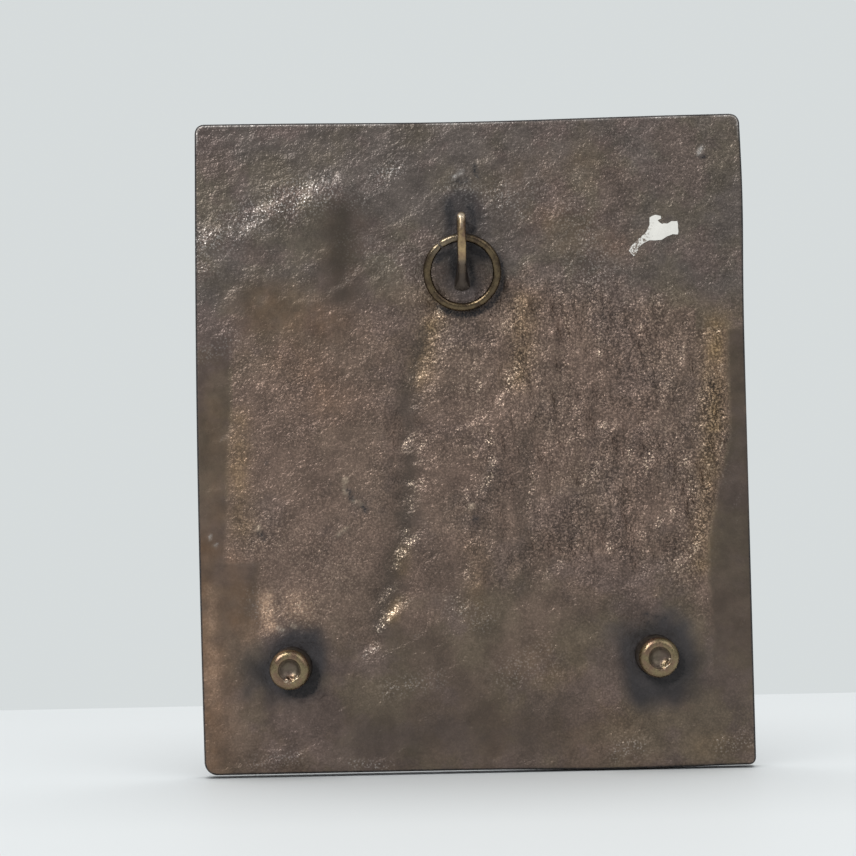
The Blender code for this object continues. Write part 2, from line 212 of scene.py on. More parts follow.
lattice = {"cells": 128, "column": 50.3, "row": 50.7}


def softNoise(x, z, size, seed):
    # smooth random hills between -1 and 1, each about this size across
    cells = lattice["cells"]
    heights = np.random.default_rng(seed).uniform(-1, 1, (cells, cells))
    column, row = x / size + lattice["column"], z / size + lattice["row"]
    left, low = np.floor(column).astype(int), np.floor(row).astype(int)
    across, up = eased(column - left), eased(row - low)

    def level(line):
        start, end = heights[line % cells, left % cells], heights[line % cells, (left + 1) % cells]
        return start * (1 - across) + end * across

    return level(low) * (1 - up) + level(low + 1) * up


def layered(x, z, seed, layers):
    # noises added up: each layer has a size and a height
    return sum(height * softNoise(x, z, size, seed + index) for index, (size, height) in enumerate(layers))


def closedMesh(name, points, faces):
    mesh = bpy.data.meshes.new(name)
    mesh.from_pydata([tuple(point) for point in points], [], faces)
    shape = bmesh.new()
    shape.from_mesh(mesh)
    bmesh.ops.recalc_face_normals(shape, faces=shape.faces)
    shape.to_mesh(mesh)
    shape.free()
    return mesh


sharpAngle = math.radians(50)


def makePiece(name, points, faces, finish, body):
    mesh = closedMesh(name, points, faces)
    mesh.shade_smooth()
    mesh.set_sharp_from_angle(angle=sharpAngle)
    piece = bpy.data.objects.new(name, mesh)
    bpy.context.scene.collection.objects.link(piece)
    mesh.materials.append(finish.material)
    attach(piece, body)
    return piece


def paint(piece, name, values):
    made = piece.data.attributes.new(name, "FLOAT", "POINT")
    made.data.foreach_set("value", np.asarray(values, np.float32).ravel())


# the camera and the stage


def makeCamera():
    camera = bpy.data.objects.new("camera", bpy.data.cameras.new("camera"))
    bpy.context.scene.collection.objects.link(camera)
    camera.data.lens = view["lens"]
    camera.data.clip_start = view["clipStart"]
    ahead = Vector((0, math.cos(view["lookUp"]), math.sin(view["lookUp"])))
    camera.location = Vector(view["aim"]) - ahead * view["distance"]
    camera.rotation_mode = "QUATERNION"
    camera.rotation_quaternion = ahead.to_track_quat("-Z", "Y") @ Quaternion((0, 0, 1), view["roll"])
    bpy.context.scene.camera = camera


def makeLamp(name, settings, lit):
    # the lamp lights only what is in that collection
    lamp = bpy.data.objects.new(name, bpy.data.lights.new(name, "AREA"))
    bpy.context.scene.collection.objects.link(lamp)
    lamp.data.size = settings["size"]
    lamp.data.energy = settings["power"]
    lamp.location = settings["place"]
    lamp.visible_camera = False
    toPlate = Vector(room["lampAim"]) - Vector(settings["place"])
    lamp.rotation_mode = "QUATERNION"
    lamp.rotation_quaternion = toPlate.to_track_quat("-Z", "Y")
    lamp.light_linking.receiver_collection = lit


def makeWorld():
    # a pale wall behind, and a softer glow from all round
    world = bpy.data.worlds.new("studio")
    bpy.context.scene.world = world
    world.use_nodes = True
    graph = world.node_tree
    seen = graph.nodes.new("ShaderNodeLightPath").outputs["Is Camera Ray"]
    mix = graph.nodes.new("ShaderNodeMix")
    mix.data_type = "RGBA"
    mix.inputs[6].default_value = (*room["ambient"], 1)
    mix.inputs[7].default_value = (*room["wall"], 1)
    graph.links.new(seen, mix.inputs[0])
    graph.links.new(mix.outputs[2], graph.nodes["Background"].inputs["Color"])


def makeTable():
    finish = Finish("table_top")
    finish.shade(Base_Color=table["colour"], Roughness=table["roughness"])
    shape = bmesh.new()
    bmesh.ops.create_cube(shape, size=1)
    width, depth = 2 * table["half"], table["half"] + table["behind"]
    middle = Vector((0, (table["behind"] - table["half"]) / 2, plateLow.z - table["thickness"] / 2))
    sized = Matrix.Translation(middle) @ Matrix.Diagonal((width, depth, table["thickness"], 1))
    bmesh.ops.transform(shape, matrix=sized, verts=shape.verts)
    mesh = bpy.data.meshes.new("table_top")
    shape.to_mesh(mesh)
    shape.free()
    mesh.materials.append(finish.material)
    top = bpy.data.objects.new("table_top", mesh)
    bpy.context.scene.collection.objects.link(top)


# the plate: its outline, its uneven back and the tree on its other side

plate = {
    "width": 0.182,
    "height": 0.215,
    "centreX": 0.0025,
    "topZ": 0.0408,
    "backY": 0.0070,
    "thickness": 0.0045,
    "draft": 0.0004,
    "backEdge": 0.0012,
    "frontEdge": 0.0008,
    "corners": {(-1, 1): 0.0030, (1, 1): 0.0033, (-1, -1): 0.0043, (1, -1): 0.0023},
    "topHollow": 0.0009,
    "bottomSwell": 0.0006,
    "leftBow": 0.0009,
    "rightSwell": 0.0007,
    "border": 0.0070,
    "borderRise": 0.0018,
    "borderSlope": 0.0012,
    "step": 0.00095,
    "insetShares": (0, 0.06, 0.2, 0.4, 0.7, 1),
    "borderBlend": 0.0020,
    "slack": 0.00002,
    # where the outline strays, in shares of the width or height: a middle and a reach
    "bowZone": 0.12,
    "rightShoulder": (0.13, 0.12),
    "topHollowAt": (0.49, 0.28),
    "bottomFlatAt": (0.75, 0.17),
}

uneven = {
    # most folds run from lower left to upper right
    # each is a path, its reach above and below, and its rise, the last three in millimetres
    "folds": (
        (
            ((-0.003, 0.198), (0.052, 0.180), (0.12, 0.160), (0.19, 0.140), (0.246, 0.123), (0.277, 0.114)),
            4.2, 9.0, 1.50,
        ),
        (((0.150, 0.135), (0.215, 0.112), (0.262, 0.098)), 2.8, 4.0, 0.50),
        (((0.242, 0.175), (0.262, 0.215), (0.266, 0.262)), 7.5, 7.5, -0.12),
        (((0.328, 0.124), (0.384, 0.083)), 2.4, 4.5, 0.6),
        (((0.338, 0.542), (0.402, 0.531)), 1.2, 3.0, 0.40),
        (((0.411, 0.791), (0.481, 0.764)), 3.5, 8.0, 0.80),
        (((0.335, 0.778), (0.376, 0.745)), 1.6, 4.0, 0.55),
        (((0.359, 0.686), (0.394, 0.654)), 1.6, 4.0, 0.45),
        (((0.474, 0.486), (0.513, 0.468)), 1.2, 3.0, 0.40),
        (((0.184, 0.479), (0.241, 0.474)), 2.0, 5.0, 0.35),
        (((-0.003, 0.366), (0.021, 0.348)), 1.2, 3.0, 0.30),
        (((0.867, 0.363), (0.906, 0.300)), 2.5, 5.0, 0.50),
        (((0.804, 0.564), (0.832, 0.515)), 2.0, 5.0, 0.40),
        (((0.842, 0.626), (0.869, 0.589)), 2.0, 4.5, 0.40),
        (((0.851, 0.707), (0.903, 0.663)), 2.0, 5.0, 0.45),
        (((0.768, 0.521), (0.791, 0.472)), 2.5, 2.5, -0.35),
        (((0.351, 0.872), (0.442, 0.855)), 1.5, 4.0, 0.35),
        (((0.105, 0.985), (0.181, 0.972)), 2.0, 4.0, 0.35),
        (((0.247, 0.980), (0.356, 0.985)), 1.6, 3.0, 0.30),
        (((0.554, 0.909), (0.580, 0.875)), 1.8, 4.0, 0.35),
        (((0.742, 0.968), (0.804, 0.957)), 2.0, 4.0, 0.40),
        (((0.924, 0.970), (0.985, 0.962)), 2.0, 3.0, 0.35),
        # the long ridge down the middle, and the trough beside it
        (((0.497, 0.798), (0.515, 0.645), (0.539, 0.539), (0.569, 0.432), (0.598, 0.308)), 6.0, 9.0, 1.1),
        (((0.302, 0.795), (0.323, 0.750), (0.354, 0.663), (0.372, 0.582), (0.381, 0.491)), 4.6, 5.4, -1.4),
        (((0.381, 0.491), (0.379, 0.430), (0.389, 0.387), (0.410, 0.346), (0.437, 0.293)), 4.6, 5.4, -1.4),
    ),
    # lumps and pits: across, down, reach, rise in millimetres
    "lumps": (
        (0.494, 0.601, 1.3, 0.60),
        (0.920, 0.058, 0.9, 0.25),
        (0.647, 0.084, 1.0, 0.25),
        (0.589, 0.147, 1.2, -0.35),
        (0.668, 0.144, 2.5, 0.40),
        (0.580, 0.136, 4.0, 0.45),
        (0.485, 0.837, 1.0, 0.30),
        (0.300, 0.896, 0.9, 0.25),
        (0.621, 0.849, 6.0, 0.45),
        (0.595, 0.798, 1.3, 0.25),
        (0.268, 0.552, 0.9, 0.35),
        (0.268, 0.566, 1.0, -0.35),
        (0.277, 0.580, 0.9, -0.30),
        (0.298, 0.595, 1.1, -0.45),
        (0.111, 0.624, 0.9, 0.40),
        (0.106, 0.636, 0.9, -0.40),
        (0.124, 0.635, 0.9, -0.35),
        (0.025, 0.636, 0.8, 0.30),
        (0.034, 0.646, 0.8, 0.25),
        (0.265, 0.627, 0.9, 0.30),
        (0.246, 0.642, 1.0, 0.25),
        (0.816, 0.769, 1.0, -0.30),
        (0.804, 0.767, 0.9, -0.30),
        (0.829, 0.774, 1.0, -0.30),
        (0.489, 0.104, 1.9, -0.40),
        (0.517, 0.087, 1.3, -0.35),
        (0.475, 0.096, 1.0, 0.30),
    ),
    "foldSteps": 4,
    # layers of noise: a size and a height
    "wander": ((0.010, 0.0011), (0.0035, 0.0006)),
    "lively": ((0.009, 0.35), (0.0034, 0.35)),
    "waves": ((0.022, 0.00032), (0.0085, 0.00020), (0.0042, 0.00015), (0.0021, 0.00009)),
    # layers of drawn-out noise: a stretch, a size and a height
    "creases": ((0.33, 0.0040, 0.00018), (0.40, 0.0020, 0.00009)),
    "ripples": ((0.38, 0.0034, 0.00085), (0.42, 0.0017, 0.00051)),
    "creaseTurn": (0.87, 0.49),
    "rippleLean": 0.22,
    "sandStep": 0.00012,
    "highest": 0.0016,
    "edgeFade": 0.0040,
    "padMargin": 0.0012,
    "padFade": 0.0050,
}


def place(across, down):
    leftX = plate["centreX"] - plate["width"] / 2
    return leftX + across * plate["width"], plate["topZ"] - down * plate["height"]


def shares(x, z):
    leftX = plate["centreX"] - plate["width"] / 2
    return (x - leftX) / plate["width"], (plate["topZ"] - z) / plate["height"]


def smoothPath(points, steps):
    points = np.array(points)
    ends = [2 * points[0] - points[1], *points, 2 * points[-1] - points[-2]]
    path = []
    for before, start, end, after in zip(ends, ends[1:], ends[2:], ends[3:]):
        for step in range(steps):
            t = step / steps
            bend = t**2 * (before - 2.5 * start + 2 * end - 0.5 * after)
            swing = t**3 * (1.5 * (start - end) + 0.5 * (after - before))
            path.append(start + 0.5 * t * (end - before) + bend + swing)
    return [*path, points[-1]]


def distances(x, z, path):
    count = len(path) - 1
    for index, (start, end) in enumerate(zip(path, path[1:])):
        runX, runZ = end[0] - start[0], end[1] - start[1]
        along = ((x - start[0]) * runX + (z - start[1]) * runZ) / (runX**2 + runZ**2)
        along = np.clip(along, 0, 1)
        yield np.hypot(x - start[0] - along * runX, z - start[1] - along * runZ), (index + along) / count


def nearest(x, z, path):
    return np.minimum.reduce([gap for gap, _ in distances(x, z, path)])


def sidedFold(x, z, path, above, below):
    # 1 on the path, with its own reach on either side
    best = np.zeros_like(x)
    for start, end in zip(path, path[1:]):
        runX, runZ = end[0] - start[0], end[1] - start[1]
        length = math.hypot(runX, runZ)
        along = np.clip(((x - start[0]) * runX + (z - start[1]) * runZ) / length**2, 0, 1)
        offX, offZ = x - start[0] - along * runX, z - start[1] - along * runZ
        gap = np.hypot(offX, offZ)
        lean = (runX * offZ - runZ * offX) / (length * np.maximum(gap, tiny))
        reach = below + (above - below) * eased(0.5 + 0.5 * lean)
        best = np.maximum(best, bell(gap, 0, reach))
    return best


def placed(path, steps=0):
    points = [place(*share) for share in path]
    return smoothPath(points, steps) if steps else points


def footGaps(x, z, aside=0, below=0):
    for centreX, centreZ in feet["places"].values():
        yield np.hypot(x - centreX - aside, z - centreZ + below)


def flatPlaces(x, z):
    # 0 where a foot or the eye stands and where the ring rests
    free = np.ones_like(x)
    for gap in footGaps(x, z):
        free = free * past(gap, feet["radius"] + feet["flare"] + uneven["padMargin"], uneven["padFade"])
    gap = nearest(x, z, [(0, eye["above"]), (0, -2 * ring["radius"] - ring["wire"])])
    return free * past(gap, eye["baseWidth"] / 2 + uneven["padMargin"], uneven["padFade"])


def backRise(x, z):
    rise = np.zeros_like(x)
    wanderX = x + layered(x, z, 5, uneven["wander"])
    wanderZ = z + layered(x, z, 7, uneven["wander"])
    lively = 1 + layered(x, z, 9, uneven["lively"])
    for path, above, below, height in uneven["folds"]:
        route = placed(path, uneven["foldSteps"] if len(path) > 2 else 0)
        fold = sidedFold(wanderX, wanderZ, route, millimetre * above, millimetre * below)
        rise += millimetre * height * lively * fold
    for across, down, reach, height in uneven["lumps"]:
        centre = place(across, down)
        gap = np.hypot(x - centre[0], z - centre[1])
        rise += millimetre * height * bell(gap, 0, millimetre * reach)
    sand = sandField(x, z)
    rise += layered(x, z, 3, uneven["waves"])
    turnX, turnZ = uneven["creaseTurn"]
    alongCrease, acrossCrease = turnX * x + turnZ * z, turnX * z - turnZ * x
    for seed, (stretch, size, height) in enumerate(uneven["creases"], 16):
        rise += height * (1 - sand) * softNoise(stretch * alongCrease, acrossCrease, size, seed)
    rise = rise * flatPlaces(x, z)
    rise = np.where(rise > 0, uneven["highest"] * np.tanh(rise / uneven["highest"]), rise)
    leaning, ran = x + uneven["rippleLean"] * z, streaked(x, z)
    for seed, (stretch, size, height) in enumerate(uneven["ripples"], 14):
        rise = rise + height * ran * softNoise(leaning, stretch * z, size, seed)
    return rise + uneven["sandStep"] * (sand - 0.5)


def edgeDrop(inset, radius):
    left = radius - np.minimum(inset, radius)
    return radius - np.sqrt(radius**2 - left**2)


def stray(x, z):
    # how far the outline strays sideways and upwards from a true rectangle
    across, down = shares(x, z)
    zone = plate["bowZone"]
    nearLeft, nearRight = before(across, zone, zone), past(across, 1 - zone, zone)
    nearTop, nearBottom = before(down, zone, zone), past(down, 1 - zone, zone)
    sideways = nearLeft * plate["leftBow"] * (1 - np.sin(math.pi * down))
    sideways -= nearRight * plate["rightSwell"] * (1 - bell(down, *plate["rightShoulder"]))
    upwards = -nearTop * plate["topHollow"] * bell(across, *plate["topHollowAt"])
    upwards += nearBottom * plate["bottomSwell"] * (1 - bell(across, *plate["bottomFlatAt"]))
    return sideways, upwards


def crowded(length, shrink, insets):
    half = length / 2 - shrink
    inner = half - insets[-1]
    middle = np.linspace(-inner, inner, round(length / plate["step"]))
    nearEnd = half - np.array(insets[:-1])
    return np.concatenate([-nearEnd, middle, nearEnd[::-1]])


def outlineGrid(shrink):
    halfX, halfZ = plate["width"] / 2 - shrink, plate["height"] / 2 - shrink
    insets = [plate["backEdge"] * share for share in plate["insetShares"]]
    x, z = np.meshgrid(crowded(plate["width"], shrink, insets), crowded(plate["height"], shrink, insets))
    inset = np.minimum(halfX - np.abs(x), halfZ - np.abs(z))
    for (sideX, sideZ), radius in plate["corners"].items():
        overX = sideX * x - (halfX - radius)
        overZ = sideZ * z - (halfZ - radius)
        bent = (overX > 0) & (overZ > 0)
        scale = np.maximum(overX, overZ) / np.maximum(np.hypot(overX, overZ), tiny)
        x = np.where(bent, sideX * (halfX - radius + overX * scale), x)
        z = np.where(bent, sideZ * (halfZ - radius + overZ * scale), z)
    return x + plate["centreX"], z + plate["topZ"] - plate["height"] / 2, inset


# the relief: a fruit tree on a low hill

tree = {
    "trunk": (
        (0.29, 0.885), (0.305, 0.77), (0.355, 0.62), (0.385, 0.47), (0.43, 0.34), (0.49, 0.24), (0.52, 0.17),
    ),
    "trunkWidth": 0.0210,
    "trunkTipWidth": 0.0040,
    "trunkRise": 0.0044,
    "rootLength": 0.025,
    "rootWidth": 0.0130,
    "rootTipWidth": 0.0030,
    "rootHeadings": (198, 238, 298, 338),
    "branchWidth": 0.0062,
    "branchTipWidth": 0.0026,
    "branchRise": 0.0026,
    "branchBend": math.radians(34),
    "branchSteps": 10,
    # share of the way up the trunk, side, length, and degrees away from the trunk
    "branches": (
        (0.38, 1, 0.082, 78),
        (0.46, -1, 0.038, 66),
        (0.58, 1, 0.072, 66),
        (0.68, -1, 0.050, 70),
        (0.79, 1, 0.050, 62),
        (0.86, -1, 0.024, 84),
    ),
    "leafLength": 0.0245,
    "leafWidth": 0.0112,
    "leafRise": 0.0028,
    "leafSpacing": 0.0150,
    "leafSpread": math.radians(52),
    "fruitRadius": 0.0056,
    "fruitRise": 0.0042,
    "moundHeight": 0.026,
    "moundRise": 0.0013,
    "moundAt": (0.3, 0.22),
    "moundLowest": 0.75,
    "moundSwell": 0.5,
    "moundSlope": 3,
    "trunkSteps": 6,
    "topTwigPoints": 7,
    # exponents that round the sections of strokes, fruit and leaves
    "taper": 0.6,
    "fullness": 0.8,
    "fruitFullness": 0.75,
    "leafFullness": 0.75,
    "leafShape": 0.8,
    "leafTip": 0.001,
    "veins": 7,
    "veinSlant": 1.1,
    "veinDepth": 0.13,
    "midrib": 0.3,
    "twigTaper": 0.3,
    "tipLeaf": 0.8,
    "fruitEvery": 5,
    "fruitStalk": 1.15,
    "furrowWidth": 0.0011,
    "furrowDepth": 0.09,
    "furrowTwist": 9,
    "furrowWander": ((0.007, 3),),
    "skin": ((0.006, 0.00007), (0.0028, 0.00004)),
}


def towards(angle):
    return np.array([math.cos(angle), math.sin(angle)])


def headingOf(direction):
    return math.atan2(direction[1], direction[0])


def stroke(x, z, path, startWidth, endWidth):
    best = np.zeros_like(x)
    for gap, share in distances(x, z, path):
        halfWidth = (startWidth + (endWidth - startWidth) * share ** tree["taper"]) / 2
        best = np.maximum(best, 1 - (gap / halfWidth) ** 2)
    return best ** tree["fullness"]


def dome(x, z, centre, radius):
    gap = np.hypot(x - centre[0], z - centre[1])
    return np.clip(1 - gap**2 / radius**2, 0, 1) ** tree["fruitFullness"]


def leaf(x, z, base, angle, size):
    length, width = tree["leafLength"] * size, tree["leafWidth"] * size
    along = ((x - base[0]) * math.cos(angle) + (z - base[1]) * math.sin(angle)) / length
    across = (z - base[1]) * math.cos(angle) - (x - base[0]) * math.sin(angle)
    inside = (along > 0) & (along < 1)
    held = np.clip(along, tree["leafTip"], 1 - tree["leafTip"])
    halfWidth = width / 2 * np.sin(math.pi * held ** tree["leafShape"])
    side = np.clip(np.abs(across) / halfWidth, 0, 1)
    height = (1 - side) ** tree["leafFullness"] * np.sqrt(np.clip(halfWidth / (width / 2), 0, 1))
    veins = 0.5 + 0.5 * np.cos(2 * math.pi * (along * tree["veins"] - side * tree["veinSlant"]))
    height = height * (1 - tree["veinDepth"] * veins * eased(side / tree["midrib"]))
    return np.where(inside, height, 0)


def branchPaths(trunk):
    steps = tree["branchSteps"]
    for share, side, length, spread in tree["branches"]:
        index = int(share * (len(trunk) - 1))
        start, ahead = np.array(trunk[index]), np.array(trunk[index + 1])
        heading = headingOf(ahead - start) - side * math.radians(spread)
        path = [start]
        for step in range(steps):
            turned = heading + side * tree["branchBend"] * step / steps
            path.append(path[-1] + length / steps * towards(turned))
        yield path


def twigHeight(x, z, path):
    # pairs of leaves along a twig, with a fruit in some places, and a leaf on its tip
    height = np.zeros_like(x)
    stretch = math.dist(path[0], path[1])
    pairs = int(stretch * (len(path) - 1) / tree["leafSpacing"])
    for pair in range(1, pairs + 1):
        placeAlong = pair * tree["leafSpacing"] / stretch
        index = min(int(placeAlong), len(path) - 2)
        direction = path[index + 1] - path[index]
        base = path[index] + direction * min(placeAlong - index, 1)
        size = 1 - tree["twigTaper"] * pair / pairs
        for side in (-1, 1):
            angle = headingOf(direction) + side * tree["leafSpread"]
            if (2 * pair + side) % tree["fruitEvery"] == 0:
                centre = base + tree["fruitStalk"] * tree["fruitRadius"] * towards(angle)
                height = np.maximum(height, tree["fruitRise"] * dome(x, z, centre, tree["fruitRadius"]))
            else:
                height = np.maximum(height, tree["leafRise"] * leaf(x, z, base, angle, size))
    tipHeading = headingOf(path[-1] - path[-2])
    return np.maximum(height, tree["leafRise"] * leaf(x, z, path[-1], tipHeading, tree["tipLeaf"]))


def mound(x, z):
    across, _ = shares(x, z)
    rise = tree["moundHeight"] * (tree["moundLowest"] + tree["moundSwell"] * bell(across, *tree["moundAt"]))
    hillTop = plate["topZ"] - plate["height"] + rise
    return tree["moundRise"] * before(z, hillTop, tree["moundSlope"] * tree["moundRise"])


def bark(x, z, trunk):
    # shallow furrows that run along the trunk
    nearestGap, share = None, None
    for gap, gone in distances(x, z, trunk):
        if nearestGap is None:
            nearestGap, share = gap, gone
        closer = gap < nearestGap
        nearestGap, share = np.where(closer, gap, nearestGap), np.where(closer, gone, share)
    wander = layered(x, z, 11, tree["furrowWander"]) + tree["furrowTwist"] * share
    return 0.5 + 0.5 * np.cos(math.pi * nearestGap / tree["furrowWidth"] + wander)


def relief(x, z):
    trunk = placed(tree["trunk"], tree["trunkSteps"])
    trunkShare = stroke(x, z, trunk, tree["trunkWidth"], tree["trunkTipWidth"])
    height = tree["trunkRise"] * trunkShare * (1 - tree["furrowDepth"] * bark(x, z, trunk))
    rootStart = np.array(trunk[0])
    for heading in tree["rootHeadings"]:
        root = [rootStart, rootStart + tree["rootLength"] * towards(math.radians(heading))]
        share = stroke(x, z, root, tree["rootWidth"], tree["rootTipWidth"])
        height = np.maximum(height, tree["branchRise"] * share)
    for path in [*branchPaths(trunk), trunk[-tree["topTwigPoints"]:]]:
        share = stroke(x, z, path, tree["branchWidth"], tree["branchTipWidth"])
        height = np.maximum(height, tree["branchRise"] * share)
        height = np.maximum(height, twigHeight(x, z, path))
    return np.maximum(height, mound(x, z)) + layered(x, z, 12, tree["skin"])


def backY(x, z, inset):
    rise = backRise(x, z) * eased(inset / uneven["edgeFade"])
    return plate["backY"] - rise + edgeDrop(inset, plate["backEdge"])


def frontY(x, z, inset):
    slope = (inset - plate["border"] + plate["borderSlope"]) / plate["borderSlope"]
    border = plate["borderRise"] * (1 - eased(slope))
    motif = relief(x, z) * past(inset, plate["border"], plate["borderBlend"])
    high = plate["backY"] + plate["thickness"] + np.maximum(border, motif)
    return high - edgeDrop(inset, plate["frontEdge"])


def gridFaces(rows, columns, first):
    for row in range(rows - 1):
        for column in range(columns - 1):
            corner = first + row * columns + column
            yield corner, corner + 1, corner + columns + 1, corner + columns


def gridOutline(rows, columns):
    bottom = list(range(columns))
    right = [row * columns + columns - 1 for row in range(1, rows)]
    top = [(rows - 1) * columns + column for column in range(columns - 2, -1, -1)]
    left = [row * columns for row in range(rows - 2, 0, -1)]
    return [*bottom, *right, *top, *left]
